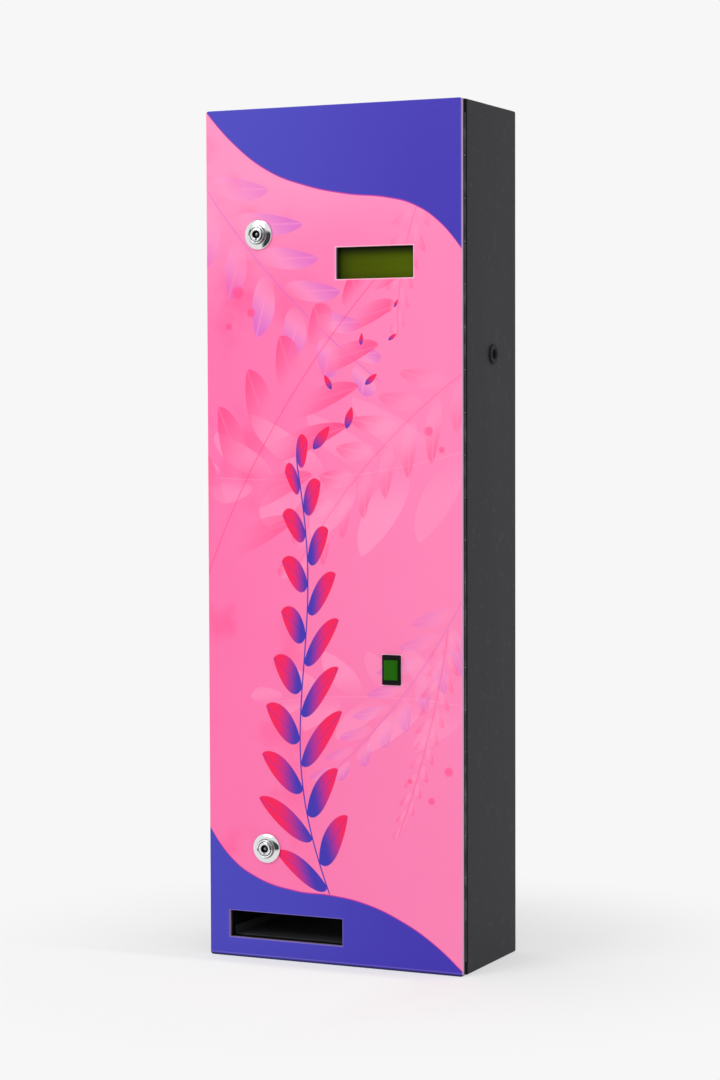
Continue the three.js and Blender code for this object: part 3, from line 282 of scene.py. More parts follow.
class Finish(Graph):
    """A material with one Principled shader."""

    def __init__(self, name):
        self.material = bpy.data.materials.new(name)
        self.material.use_nodes = True
        super().__init__(self.material.node_tree)
        self.shader = self.tree.nodes["Principled BSDF"]
        self.spot = self.node("TexCoord")["Object"]

    def set(self, **values):
        """Sets or links the shader's sockets, base_color for Base Color and so on. Gives the material."""
        for name, value in values.items():
            label = name.replace("_", " ").title().replace("Ior", "IOR")
            self.feed(self.shader.inputs[label], value)
        return self.material

    def sized(self, size, stretch=(1, 1, 1), seed=0.0):
        """Coordinates that count lumps of this size in millimetres, drawn out along an axis."""
        return self.node("Mapping", self.spot, Location=(seed,) * 3,
                         Scale=tuple(1 / (size * MM * s) for s in stretch))

    def noise(self, size, detail=4.0, stretch=(1, 1, 1), seed=0.0):
        """Soft random tone, 0 to 1."""
        return self.node("TexNoise", Vector=self.sized(size, stretch, seed), Scale=1.0, Detail=detail)

    def cells(self, size, seed=0.0):
        """A random tone for each of many small cells."""
        found = self.node("TexVoronoi", Vector=self.sized(size, seed=seed), Scale=1.0)
        return self.node("SeparateColor", found["Color"])

    def edges(self, node, reach):
        """1 along the outer edges of a boxy solid and 0 from this reach in millimetres inwards."""
        low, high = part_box(node)
        centre, half = (low + high) / 2, (high - low) / 2
        depth = [half[i] - abs(axis - centre[i]) for i, axis in enumerate(self.spot.axes())]
        inner = least(most(depth[0], depth[1]), depth[2])
        second = most(least(depth[0], depth[1]), inner)
        return 1 - second.step(0.0, reach * MM)


print("finish helpers ready")

# %% [markdown]
# ## Powder coat
# The case, the door and its stiffening frame have a dark grey powder coat with fine orange peel, made
# by a slow noise in the roughness and one of half a millimetre in the bump. The long outer edges are
# rubbed lighter and smoother. A painted shade darkens the gaps on both sides of the hinge's knuckles.

# %% Powder coat
GREY = paint(54, 54, 57)
RUBBED_GREY = paint(96, 96, 100)
# The next colour and the three sizes after it are for painted shade in the gaps beside the hinge's knuckles.
HINGE_GAP_SHADE = paint(12, 12, 15)
GAP_SHADE_FROM = 238.0
GAP_SHADE_BEHIND = 10.0
GAP_SHADE_BEFORE = 4.6


def powder_coat(name, worn_node):
    finish = Finish(name)
    drift = finish.noise(90, 3, seed=2.0)
    grain = finish.noise(0.55, 2, seed=5.0)
    dust = finish.noise(7, 6, seed=8.0).step(0.56, 0.8)
    base = mix(drift, tuple(c * 0.86 for c in GREY), tuple(c * 1.16 for c in GREY))
    base = mix(dust * 0.22, base, RUBBED_GREY)
    wear = finish.edges(worn_node, 1.6) * finish.noise(14, 5, seed=3.0).step(0.42, 0.7)
    base = mix(wear * 0.7, base, RUBBED_GREY)
    x, y, _ = finish.spot.axes()
    across, back = x / MM + MIDDLE_U, y / MM + MIDDLE_F
    # Painted shade: a dark line in the gaps in front of and behind the hinge's knuckles, on the hinge side
    # only.
    behind = 1 - abs(back - GAP_SHADE_BEHIND).step(1.0, 1.9)
    before = 1 - abs(back - GAP_SHADE_BEFORE).step(0.9, 1.5)
    gap_shade = most(behind, before) * across.step(GAP_SHADE_FROM, GAP_SHADE_FROM + 4)
    base = mix(gap_shade * 0.8, base, HINGE_GAP_SHADE)
    finish.set(base_color=base, roughness=0.46 + drift * 0.1 + grain * 0.08 - wear * 0.12)
    finish.set(normal=bump(finish.noise(4, 3), 0.05, Normal=bump(grain, 0.05)))
    return finish.set(specular_ior_level=0.06)


# %% [markdown]
# ## Zinc-plated sheet
# Plating shows as large faint crystals, and the rolling mill leaves long streaks, so the finish mixes
# flat-toned cells with a stretched noise. A slow drift towards yellow stands for the passivation film.
# Without cells and drift the same recipe gives spring steel and brass.

# %% Metals
def metal(name, colour, rough, streak, crystals=0.0, tint=None):
    finish = Finish(name)
    lines = finish.noise(1.1, 3, stretch=streak, seed=4.0)
    tone = 0.9 + lines * 0.12
    if crystals:
        tone = tone + (finish.cells(crystals, 6.0) - 0.5) * 0.1
    base = mix((tone - 0.8) * 3.0, tuple(c * 0.8 for c in colour), colour)
    if tint:
        base = mix(finish.noise(60, 3, seed=1.0).step(0.45, 0.75) * 0.5, base, tint)
    smear = finish.noise(22, 6, seed=9.0).step(0.5, 0.75)
    finish.set(base_color=base, metallic=1.0, roughness=rough + lines * 0.12 + smear * 0.1)
    return finish.set(normal=bump(lines, 0.02))


# %% [markdown]
# ## Moulded plastics and rubber
# Moulded parts have a fine spark-eroded texture and a slight waxy sheen. One recipe serves them all:
# only colour, gloss, sheen and the depth of the texture change.

# %% Plastics
def moulded(name, colour, rough, texture=0.03, sheen=0.5, spread=0.1):
    finish = Finish(name)
    grain = finish.noise(0.3, 2, seed=7.0)
    scuff = finish.noise(5, 8, stretch=(1, 1, 3), seed=11.0).step(0.6, 0.78)
    light = tuple(min(1.0, c * (1 + spread) + 0.004) for c in colour)
    base = mix(finish.noise(18, 3, seed=3.0), tuple(c * (1 - spread) for c in colour), light)
    finish.set(base_color=mix(scuff * 0.25, base, light), specular_ior_level=sheen)
    return finish.set(roughness=rough + scuff * 0.12 + grain * 0.06, normal=bump(grain, texture))


print("finishes for sheet, metal and plastic ready")

# %% [markdown]
# ## The printed front
# The front sheet carries a pink field between two violet waves. The waves are curves of height against
# width, and whatever lies past a curve is violet. The leaves are drawn by folding the sheet: along a
# stem the distance is cut into equal cells, and one lens shape in one cell becomes a leaf in every cell,
# shorter towards the tip, however many there are. Round the slot, the display and the button the
# sheet's bare cut edge shows as a thin pale line.

# %% Colours and curves of the print
VIOLET, VIOLET_DEEP = paint(64, 60, 178), paint(56, 42, 168)
PINK, PINK_LEFT, PINK_RIGHT = paint(242, 116, 168), paint(243, 107, 164), paint(243, 128, 176)
ROSE, LILAC, PALE = paint(248, 58, 124), paint(200, 92, 196), paint(248, 160, 198)
CRIMSON, MAGENTA = paint(236, 12, 84), paint(198, 40, 150)
# The third colour on the next line is painted shade for the foot of the sheet.
LAVENDER, BARE_EDGE, FOOT_EDGE_SHADE = paint(192, 158, 188), paint(255, 222, 234), paint(16, 14, 40)

PANEL_WIDE = 245.0
PANEL_TALL = 750.0
HEAD_SHARES = [(0, 1), (0.11, 0.9615), (0.245, 0.9288), (0.4, 0.909), (0.56, 0.8977),
               (0.72, 0.8915), (0.82, 0.8822), (0.916, 0.8616), (1, 0.8305)]
FOOT_SHARES = [(0, 0.1527), (0.082, 0.119), (0.185, 0.0969), (0.35, 0.0832), (0.49, 0.0812),
               (0.62, 0.0748), (0.754, 0.0593), (0.884, 0.0355), (1, 0.0047)]

# Left, low, width, height of what breaks the sheet, and how pale its cut edge is
CUT_OUTS = [(19.5, 17.5, 111.0, 23.6, 0.11),
            (126.5, 599.5, 73.1, 27.4, 0.5),
            (170.25, 248.9, 17.3, 26.0, 0.45)]

# Deep tone, pale tone, strength, then start, lean, long, bend, pitch, reach, slant and plump of the sprig
TONAL_SPRIGS = [
    (PALE, PALE, 0.45, (252, 452), 196, 250, -46, 52, 84, 0.8, 0.43),
    (LILAC, PALE, 0.8, (-6, 690), -56, 250, 46, 40, 60, 0.75, 0.4),
    (ROSE, PINK, 1.0, (-4, 330), 70, 320, -70, 46, 74, 0.9, 0.42),
    (ROSE, PALE, 0.6, (250, 520), 214, 250, 60, 30, 46, 0.8, 0.4),
    (PALE, PALE, 0.4, (255, 232), 172, 190, 30, 40, 58, 0.85, 0.42),
    (LILAC, PALE, 0.5, (248, 330), 243, 210, -44, 26, 38, 0.9, 0.42),
    (ROSE, PALE, 0.6, (232, 300), 262, 190, -22, 17, 17, 1.1, 0.36),
    (ROSE, PALE, 0.5, (206, 668), 248, 120, 26, 19, 22, 0.9, 0.36),
]
MAIN_SPRIG = ((120, 58), 101, 390, -42, 44, 47, 0.95, 0.37, 11)

# Centre and radius of each berry, and start, lean and length of each single leaf
BERRIES = [((31, 590), 7), ((44, 572), 5), ((22, 560), 4), ((214, 468), 5),
           ((226, 452), 3.5), ((232, 176), 5), ((216, 150), 4), ((196, 166), 3)]
SINGLE_LEAVES = [((104, 452), 52, 26), ((136, 470), 74, 20), ((122, 504), 118, 15), ((154, 508), 40, 15),
                 ((150, 542), 84, 11), ((176, 546), 35, 10), ((182, 574), 66, 8)]


# %% A printed sprig
def laid(flat, start, lean, scale=(1, 1, 1)):
    """Distances along and across a direction, given in degrees from the right, that begins at start."""
    return flat.graph.node("Mapping", Vector=flat, Location=(*start, 0), Scale=scale,
                           Rotation=(0, 0, math.radians(lean)), how={"vector_type": "TEXTURE"}).axes()


def sprig(flat, start, lean, long, bend, pitch, reach, slant, plump, sway=0.0):
    """Masks of a curved stem with a row of leaves on each side.

    start is the foot of the stem, lean its direction in degrees from the right, long its length, bend
    how far its tip swings to the left, and sway the depth of an S. Returns leaf, stem, how far out
    along its leaf a point is, how far across it, and a random number for each leaf.
    """
    along, side, _ = laid(flat, start, lean)
    share = along / long
    side = side - share * share * bend
    if sway:
        side = side - (share * (2 * math.pi)).math("SINE") * sway
    hand = side.math("SIGN")
    away = abs(side)
    folded = (along - away * slant + hand * (pitch * 0.25)) / pitch
    cell = folded.math("FLOOR")
    across = folded - cell - 0.5
    place = (cell + 0.5) * (pitch / long)
    luck = flat.graph.node("TexWhiteNoise", W=cell * 2.0 + hand, how={"noise_dimensions": "1D"})
    within = place.math("GREATER_THAN", 0.04) * place.math("LESS_THAN", 1.0)
    length = (1.05 - place) ** 0.55 * (0.78 + luck * 0.3) * reach
    out = away / length
    lens = most(out * (1 - out) * 4, 0.0) ** 0.72 * (1 - out * 0.3)
    leaf = ((lens * plump - abs(across)) * pitch).step(0.0, 0.9) * within
    ends = share.step(0.0, 0.02) * (1 - share.step(0.97, 1.0))
    stem = (1 - away.step(0.35, 0.85)) * ends
    return leaf, stem, out, across, luck


def tonal_sprig(base, flat, deep, pale, strength, *shape):
    """Lays a sprig in two tones over the field: deep at its tips, pale at its midribs."""
    leaf, stem, out, across, luck = sprig(flat, *shape)
    tone = mix(out.step(0.05, 1.0), pale, deep)
    tone = mix((1 - abs(across).step(0.0, 0.045)) * 0.4, tone, pale)
    cover = leaf * (0.45 + luck * 0.55) * strength * out.step(-0.1, 0.55)
    return mix(stem * (0.55 * strength), mix(cover, base, tone), deep)


def single_leaf(flat, start, lean, long, wide):
    """Mask of one lens-shaped leaf, and how far along it a point is."""
    out, side, _ = laid(flat, start, lean, (long, wide / 2, 1))
    lens = most(out * (1 - out) * 4, 0.0) ** 0.8 * (1.1 - out * 0.35)
    return ((lens - abs(side)) * (wide / 2)).step(0.0, 0.5), out


# %% The print
def field_of(finish, across, height, flat):
    """The pink field with its tonal leaves and berries."""
    soft = finish.noise(120, 2, seed=3.0)
    base = mix((across + soft * 90).step(20, 190), PINK_LEFT, PINK)
    base = mix((across + height * 0.1 + soft * 120).step(170, 350) * 0.7, base, PINK_RIGHT)
    base = mix((height - across * 0.3 + soft * 80).step(590, 720) * 0.5, base, PALE)
    blush = finish.noise(55, 3, seed=12.0).step(0.5, 0.72) * (1 - across.step(30, 150))
    base = mix(blush * 0.45, base, ROSE)
    for row in TONAL_SPRIGS:
        base = tonal_sprig(base, flat, *row)
    for centre, radius in BERRIES:
        gap = finish.node("VectorMath", flat, (*centre, 0), how={"operation": "DISTANCE"})
        base = mix((1 - gap.step(radius * 0.55, radius)) * 0.6, base, ROSE)
    return base, soft


def fascia_print():
    finish = Finish("fascia_print")
    sheet = finish.node("Mapping", finish.spot, Location=(MIDDLE_U, MIDDLE_F, 0), Scale=(1 / MM,) * 3)
    across, depth, height = sheet.axes()
    flat = finish.node("CombineXYZ", X=across, Y=height)
    base, soft = field_of(finish, across, height, flat)

    leaf, stem, out, vein, luck = sprig(flat, *MAIN_SPRIG)
    ink = mix((out + (luck - 0.5) * 0.3).step(0.12, 0.75), VIOLET_DEEP, CRIMSON)
    ink = mix((1 - abs(vein).step(0.0, 0.022)) * 0.5, ink, VIOLET_DEEP)
    base = mix(stem, mix(leaf, base, ink), VIOLET_DEEP)
    for start, lean, long in SINGLE_LEAVES:
        mask, out = single_leaf(flat, start, lean, long, long * 0.42)
        base = mix(mask, base, mix(out.step(0.0, 0.7), VIOLET_DEEP, CRIMSON))

    head, foot = [finish.node("FloatCurve", Value=across / PANEL_WIDE, how={"points": shares}) * PANEL_TALL
                  for shares in (HEAD_SHARES, FOOT_SHARES)]
    past = most(height - head, foot - height)
    violet = mix((across + soft * 60).step(40, 260), VIOLET, VIOLET_DEEP)
    base = mix(past.step(-1.3, -0.7), base, MAGENTA)
    base = mix(past.step(-0.5, 0.4), base, violet)

    for left, low, wide, tall, share in CUT_OUTS:
        beside = abs(across - (left + wide / 2)) - wide / 2
        beyond = most(beside, abs(height - (low + tall / 2)) - tall / 2)
        base = mix((1 - beyond.step(0.5, 1.2)) * share, base, BARE_EDGE)
    turned_edge = across.step(PANEL_WIDE - 1.1, PANEL_WIDE - 0.5) * 0.6
    base = mix(most(depth.step(0.5, 0.8), turned_edge), base, LAVENDER)
    # Painted light along the foot of the sheet: a faint pale line near 2.8 mm up is a painted highlight on
    # the lower bevel, and the dark band below 2 mm is painted shade of the door's edge under it.
    base = mix(abs(height - 2.8).step(0.6, 0.1) * 0.2, base, LAVENDER)
    base = mix((1 - height.step(1.3, 2.2)) * 0.85, base, FOOT_EDGE_SHADE)

    fibre = finish.noise(0.5, 2, seed=21.0)
    smear = finish.noise(40, 6, seed=23.0).step(0.5, 0.72)
    finish.set(base_color=base, roughness=0.36 + smear * 0.08 + fibre * 0.04)
    finish.set(normal=bump(finish.noise(9, 3, seed=25.0), 0.04, Normal=bump(fibre, 0.012)))
    return finish.set(coat_weight=0.12, coat_roughness=0.2, specular_ior_level=0.25)


fascia_finish = fascia_print()
print("the print has", len(fascia_finish.node_tree.nodes), "nodes")

# %% [markdown]
# ## The display cell
# A liquid-crystal cell that is switched off is olive green. Its top and left are darkened as painted
# shade from the window's recess, and it is painted lighter towards the right as painted light. Faint
# character blocks are etched in it in rows, and they show only close to.

# %% Display cell
CELL_COLUMNS = 19
CELL_ROWS = 3


def display_cell():
    finish = Finish("display_cell")
    low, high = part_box("display_glass")
    x, _, z = finish.spot.axes()
    across, height = (x - low.x) / (high.x - low.x), (z - low.z) / (high.z - low.z)
    # Painted shade: glow is 0 in a dark band at the top and the left, where the recess shades the cell.
    # Painted light: the tone on the next line grows lighter towards the right.
    glow = across.step(-0.04, 0.3) * height.step(0.92, 0.54)
    painted_lit_tone = mix(across.step(0.2, 0.95), paint(68, 80, 0), paint(76, 92, 0))
    base = mix(glow, paint(12, 16, 0), painted_lit_tone)
    column = abs((across * CELL_COLUMNS + 0.1).math("FRACT") - 0.5)
    row = abs((height * CELL_ROWS).math("FRACT") - 0.5)
    block = column.step(0.42, 0.36) * row.step(0.42, 0.38)
    base = mix(block * 0.06, base, paint(20, 30, 6))
    finish.set(base_color=base, roughness=0.16 + finish.noise(8, 5) * 0.08, specular_ior_level=0.05)
    return finish.set(normal=bump(finish.noise(12, 2), 0.01))


# %% [markdown]
# ## Circuit boards
# Solder mask is a glossy green skin over copper, and tracks show as slightly lighter, raised lines. They
# come from a Voronoi pattern in square distance, whose borders run straight and at right angles.

# %% Circuit board
def circuit_board():
    finish = Finish("circuit_board")
    place = finish.sized(7)
    near, far = [finish.node("TexVoronoi", Vector=place, Scale=1.0, Randomness=0.8,
                             how={"distance": "CHEBYCHEV", "feature": feature}) for feature in ("F1", "F2")]
    gap = far - near
    track = gap.step(0.02, 0.06) * gap.step(0.2, 0.16)
    base = mix(track * 0.6, paint(20, 92, 50), paint(46, 138, 78))
    base = mix(finish.noise(30, 3) * 0.3, base, paint(14, 70, 40))
    finish.set(base_color=base, roughness=0.32 - track * 0.06 + finish.noise(2, 3) * 0.08)
    return finish.set(normal=bump(track, 0.035), specular_ior_level=0.55)


# %% [markdown]
# ## Chrome on the locks
# Chrome is a mirror with fine scratches. The keyway is painted dark as painted shade, with its middle post
# kept a little lighter as a painted highlight, and painted shade lies in the groove round the plug and at
# the foot of the ring. All three are bands of the distance from the axis of the nearer lock.

# %% Lock chrome
# The third colour is the painted shade of the keyway, the groove and the ring's foot.
CHROME, TARNISHED, SHADE_BLACK = (0.80, 0.81, 0.82), (0.52, 0.53, 0.54), (0.035, 0.035, 0.038)


def lock_metal():
    finish = Finish("lock_chrome")
    x, _, z = finish.spot.axes()
    radii = []
    for side in ("upper", "lower"):
        low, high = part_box(side + "_lock_body")
        across, height = x - (low.x + high.x) / 2, z - (low.z + high.z) / 2
        radii.append((across * across + height * height).math("SQRT") / MM)
    radius = least(*radii)
    # Painted shade: the keyway is painted dark, with its middle post kept a little lighter as a painted
    # highlight, and painted shade lies in the groove round the plug and at the foot of the ring.
    keyway = (1 - radius.step(3.5, 3.8)) * (1 - (1 - radius.step(0.6, 1.3)) * 0.35)
    groove = radius.step(5.7, 5.95) * (1 - radius.step(6.3, 6.6))
    foot = radius.step(7.7, 7.95) * (1 - radius.step(8.4, 9.1))
    tarnish = finish.noise(3, 6, seed=5.0).step(0.5, 0.8)
    scratch = finish.noise(0.35, 2, stretch=(1, 1, 14), seed=9.0).step(0.62, 0.75)
    crevice_shade = most(keyway, most(groove * 0.85, foot * 0.7))
    finish.set(base_color=mix(crevice_shade, mix(tarnish * 0.35, CHROME, TARNISHED), SHADE_BLACK), metallic=1.0)
    finish.set(roughness=0.07 + keyway * 0.3 + scratch * 0.15 + tarnish * 0.06)
    return finish.set(normal=bump(finish.noise(2.2, 3, seed=14.0), 0.02))


# %% All finishes by slot
finishes = {
    "fascia_print": fascia_finish,
    "cabinet_paint": powder_coat("cabinet_paint", "cabinet_shell"),
    "black_plastic": moulded("black_plastic", paint(5, 5, 6), 0.5, sheen=0.1),
    "button_green": moulded("button_green", paint(27, 90, 0), 0.34, texture=0.01, sheen=0.04),
    "display_green": display_cell(),
    "lock_chrome": lock_metal(),
    "zinc_steel": metal("zinc_steel", (0.66, 0.68, 0.70), 0.32, (1, 1, 30), 7, (0.72, 0.68, 0.52)),
    "spring_steel": metal("spring_steel", (0.56, 0.57, 0.58), 0.28, (8, 1, 1)),
    "brass": metal("brass", (0.72, 0.55, 0.26), 0.25, (1, 1, 4)),
    "grommet_rubber": moulded("grommet_rubber", paint(24, 24, 24), 0.72, texture=0.05, sheen=0.25),
    "acetal": moulded("acetal", paint(232, 230, 220), 0.4, texture=0.02, spread=0.05),
    "board_green": circuit_board(),
    "connector_green": moulded("connector_green", paint(44, 140, 78), 0.4),
    "relay_blue": moulded("relay_blue", paint(34, 98, 176), 0.36),
}
print(len(finishes), "finishes")

# %% [markdown]
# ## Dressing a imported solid
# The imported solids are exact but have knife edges, while real parts catch a thin line of light along
# theirs. Each solid that keeps its shape gets a copy whose double points are merged and whose flat
# triangles are joined, and a narrow bevel rounds every sharp edge. The copy takes the finish of its slot.

# %% Dressed copies
SHARP_FROM = 32
MERGE_WITHIN = 2e-6
FLAT_WITHIN = 0.5


def link(name, mesh):
    piece = bpy.data.objects.new(name, mesh)
    bpy.context.scene.collection.objects.link(piece)
    return piece


def mount(piece, body, slot, *nodes):
    """Gives a finished piece its material, its body and the solids that it stands for."""
    piece.data.materials.clear()
    piece.data.materials.append(finishes[slot])
    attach(piece, body)
    if nodes:
        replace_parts(piece, *nodes)


def round_edges(piece, width, steps=2, angle=SHARP_FROM):
    bevel = piece.modifiers.new("edges", "BEVEL")
    bevel.width = width * MM
    bevel.segments = steps
    bevel.limit_method = "ANGLE"
    bevel.angle_limit = math.radians(angle)
    bevel.use_clamp_overlap = True
    bevel.harden_normals = True


def stand_for(piece, node, *edges):
    """Puts a piece in a solid's place, with its edges rounded by width, steps and angle if given."""
    mount(piece, body_of[node], slot_of[node], node)
    if edges:
        round_edges(piece, *edges)


def smooth_faces(mesh, angle=SHARP_FROM):
    for face in mesh.polygons:
        face.use_smooth = True
    mesh.set_sharp_from_angle(angle=math.radians(angle))


def dress(node, edge=0.2):
    """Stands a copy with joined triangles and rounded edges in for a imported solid."""
    work = bmesh.new()
    work.from_mesh(frame["nodes"][node].data)
    bmesh.ops.remove_doubles(work, verts=work.verts, dist=MERGE_WITHIN)
    bmesh.ops.dissolve_limit(work, angle_limit=math.radians(FLAT_WITHIN), verts=work.verts, edges=work.edges)
    mesh = bpy.data.meshes.new(node + "_dressed")
    mesh.from_pydata([v.co.copy() for v in work.verts], [], [[v.index for v in f.verts] for f in work.faces])
    work.free()
    smooth_faces(mesh)
    piece = link(node + "_dressed", mesh)
    stand_for(piece, node, edge)


# %% [markdown]
# ## Turned pieces
# Locks, motor, hinge pin, cable grommet and capacitor are round. A half section spun about its axis
# gives them in finer facets than the solids have. It is closed or ends on the axis, so the result is a
# solid. Prisms cut and add what is not round.

# %% Lathe
ROUND_STEPS = 64
SAME_POINT = 1e-7
NO_LENGTH = 1e-8


def skin(work, rings, closed=True):
    """Lays faces between each ring of points and the next. closed joins a ring's end to its start."""
    for here, there in zip(rings, rings[1:]):
        for i in range(len(here) if closed else len(here) - 1):
            j = (i + 1) % len(here)
            work.faces.new([here[i], here[j], there[j], there[i]])


def made_of(name, work, angle=None):
    """Ends a bmesh as a linked object, smooth up to an angle where one is given."""
    bmesh.ops.recalc_face_normals(work, faces=work.faces)
    mesh = bpy.data.meshes.new(name)
    work.to_mesh(mesh)
    work.free()
    if angle:
        smooth_faces(mesh, angle)
    return link(name, mesh)


def from_start(start, points):
    """Section points (radius, along) moved along to a start."""
    return [(radius, start + along) for radius, along in points]


def turned(name, section, centre, axis="Y", steps=ROUND_STEPS):
    """A mesh object spun from (radius, along) points about a line through centre along an axis."""
    work = bmesh.new()
    rings = []
    for i in range(steps):
        angle = 2 * math.pi * i / steps
        cos, sin = math.cos(angle), math.sin(angle)
        place = {"Y": lambda r, a: (r * cos, a, r * sin), "X": lambda r, a: (a, r * cos, r * sin),
                 "Z": lambda r, a: (r * cos, r * sin, a)}[axis]
        rings.append([work.verts.new(centre + Vector(place(*point)) * MM) for point in section])
    skin(work, rings + rings[:1], closed=section[0][0] > 0)
    bmesh.ops.remove_doubles(work, verts=work.verts, dist=SAME_POINT)
    bmesh.ops.dissolve_degenerate(work, edges=work.edges, dist=NO_LENGTH)
    return made_of(name, work, SHARP_FROM)


# %% Prisms and joining
def prism(name, outline, place, near, far):
    """An outline of (x, y) points put in space by place(x, y, along) at near and far."""
    work = bmesh.new()
    front, back = [[work.verts.new(place(x, y, end)) for x, y in outline] for end in (near, far)]
    work.faces.new(front)
    work.faces.new(back[::-1])
    for i in range(len(outline)):
        j = (i + 1) % len(outline)
        work.faces.new([front[j], front[i], back[i], back[j]])
    return made_of(name, work)


def backwards_from(centre):
    """Places an outline's x to the right and its y up about a centre, and lengths back from the front."""
    return lambda x, y, f: centre + Vector((x, f, y)) * MM


def box_outline(left, low, right, high):
    return [(left, low), (right, low), (right, high), (left, high)]


def rounded_outline(wide, tall, radius, steps=6):
    """A rectangle about the origin with round corners."""
    points = []
    for quarter, (sx, sy) in enumerate([(1, 1), (-1, 1), (-1, -1), (1, -1)]):
        for i in range(steps + 1):
            angle = (quarter + i / steps) * math.pi / 2
            points.append((sx * (wide / 2 - radius) + radius * math.cos(angle),
                           sy * (tall / 2 - radius) + radius * math.sin(angle)))
    return points


def apply_modifiers(piece):
    graph = bpy.context.evaluated_depsgraph_get()
    mesh = bpy.data.meshes.new_from_object(piece.evaluated_get(graph))
    piece.modifiers.clear()
    piece.data = mesh


def combine(piece, other, operation):
    """Joins or cuts one mesh object with another, and leaves a plain mesh."""
    change = piece.modifiers.new("combine", "BOOLEAN")
    change.operation = operation
    change.solver = "EXACT"
    change.object = other
    apply_modifiers(piece)
    bpy.data.objects.remove(other)
    smooth_faces(piece.data)


print("mesh helpers ready")

# %% [markdown]
# ## Cam locks
# Each lock is a chromed body with a domed flange and a raised ring, and a plug with a ring-shaped groove
# around a small post. Both are lathed. The groove's notch and the barrel's two flats are cut
# afterwards, and the square and the stud that carry the cam are joined on.

# %% Locks
RING_FRONT = -5.6
RING_RADIUS = 7.9
FLANGE_RADIUS = 13.25
PLUG_RADIUS = 6.0
RUNNING_GAP = 0.3
DOME_INNER, DOME_WIDE = 8.9, 4.35
DOME_FRONT, DOME_DEEP = -3.2, 2.1
BARREL_RADIUS = 9.2
BARREL_FLAT = 8.0
BARREL_END = 12.0
FLAT_CUT = (BARREL_FLAT, -12, 20, 12)
FLAT_CUT_BACK = 20
FACE_SEAT = -0.3
THREAD_PITCH = 1.0
THREAD_FROM = 4.8
THREAD_RADIUS = BARREL_RADIUS - 0.35
PLUG_FRONT = RING_FRONT + 0.5
PLUG_FACE = [(0, 0.9), (1.1, 0.9), (1.5, 1.1), (1.9, 1.25), (1.9, 4.5), (3.2, 4.5), (3.2, 0.35), (3.45, 0.1),
             (3.7, 0), (5.3, 0), (5.75, 0.2), (PLUG_RADIUS, 0.7)]
STUD = [(0, 11.8), (2, 11.8), (2, 17.4), (1.7, 17.7), (0, 17.7)]
TANG = (6.4, 6.4, 0.4, 3)
TANG_END = 13.8
NOTCH = (-0.9, -5.1, 0.9, -2.6)
NOTCH_DEEP = 4.4
CUT_BEYOND = 2
JOIN_INTO = 0.4


def lock_centre(side):
    low, high = box_of(side + "_lock_body")
    return at(middle_of(side + "_lock_plug").x, 0, (low.z + high.z) / 2)


def dome(count=14):
    """The flange from its step beside the ring out to its thin rim: a cone that curves over at the rim."""
    points = []
    for i in range(count + 1):
        share = i / count
        fall = 0.62 * share ** 1.25 + 0.38 * (1 - math.sqrt(1 - share ** 6))
        points.append((DOME_INNER + DOME_WIDE * share, DOME_FRONT + DOME_DEEP * fall))
    return points


def thread(start, end):
    """Ridges along the barrel, as (radius, along) points."""
    points = []
    along = start
    while along + THREAD_PITCH < end:
        points += [(THREAD_RADIUS, along), (BARREL_RADIUS, along + THREAD_PITCH / 2)]
        along += THREAD_PITCH
    return points


def lock_body(side):
    centre = lock_centre(side)
    inner = PLUG_RADIUS + RUNNING_GAP
    section = [
        *from_start(RING_FRONT, [(inner, 0.9), (inner + 0.5, 0.25), (inner + 0.9, 0), (RING_RADIUS - 0.5, 0),
                                 (RING_RADIUS - 0.12, 0.15), (RING_RADIUS, 0.5)]),
        (RING_RADIUS, -3.5), (RING_RADIUS + 0.35, -3.1), *dome(),
        (FLANGE_RADIUS - 0.15, -0.6), (FLANGE_RADIUS - 0.4, FACE_SEAT), (THREAD_RADIUS, FACE_SEAT),
        *thread(THREAD_FROM, BARREL_END - 0.5), (THREAD_RADIUS, BARREL_END - 0.4),
        (THREAD_RADIUS - 0.4, BARREL_END), (inner, BARREL_END),
    ]
    body = turned(side + "_lock_body_turned", section, centre)
    for sign in (-1, 1):
        outline = [(sign * x, y) for x, y in box_outline(*FLAT_CUT)]
        combine(body, prism("flat", outline, backwards_from(centre), FACE_SEAT, FLAT_CUT_BACK), "DIFFERENCE")
    stand_for(body, side + "_lock_body", 0.08, 1, 40)


def lock_plug(side):
    centre = lock_centre(side)
    place = backwards_from(centre)
    section = [*from_start(PLUG_FRONT, PLUG_FACE), (PLUG_RADIUS, BARREL_END), (0, BARREL_END)]
    plug = turned(side + "_lock_plug_turned", section, centre)
    notch = prism("notch", box_outline(*NOTCH), place, PLUG_FRONT - CUT_BEYOND, PLUG_FRONT + NOTCH_DEEP)
    combine(plug, notch, "DIFFERENCE")
    combine(plug, prism("tang", rounded_outline(*TANG), place, BARREL_END - JOIN_INTO, TANG_END), "UNION")
    combine(plug, turned("stud", STUD, centre, steps=32), "UNION")
    stand_for(plug, side + "_lock_plug", 0.07, 1, 40)


for side in ("upper", "lower"):
    lock_body(side)
    lock_plug(side)
    dress(side + "_lock_nut", 0.35)
    dress(side + "_lock_cam", 0.25)
    dress(side + "_lock_cam_nut")
print("two locks turned")

# %% [markdown]
# ## The push-button
# A green cap slides in a black bezel that snaps into the door. Both are prisms with small corner radii.
# The cap's broad chamfer catches the light, so it is part of the mesh and not a narrow bevel.

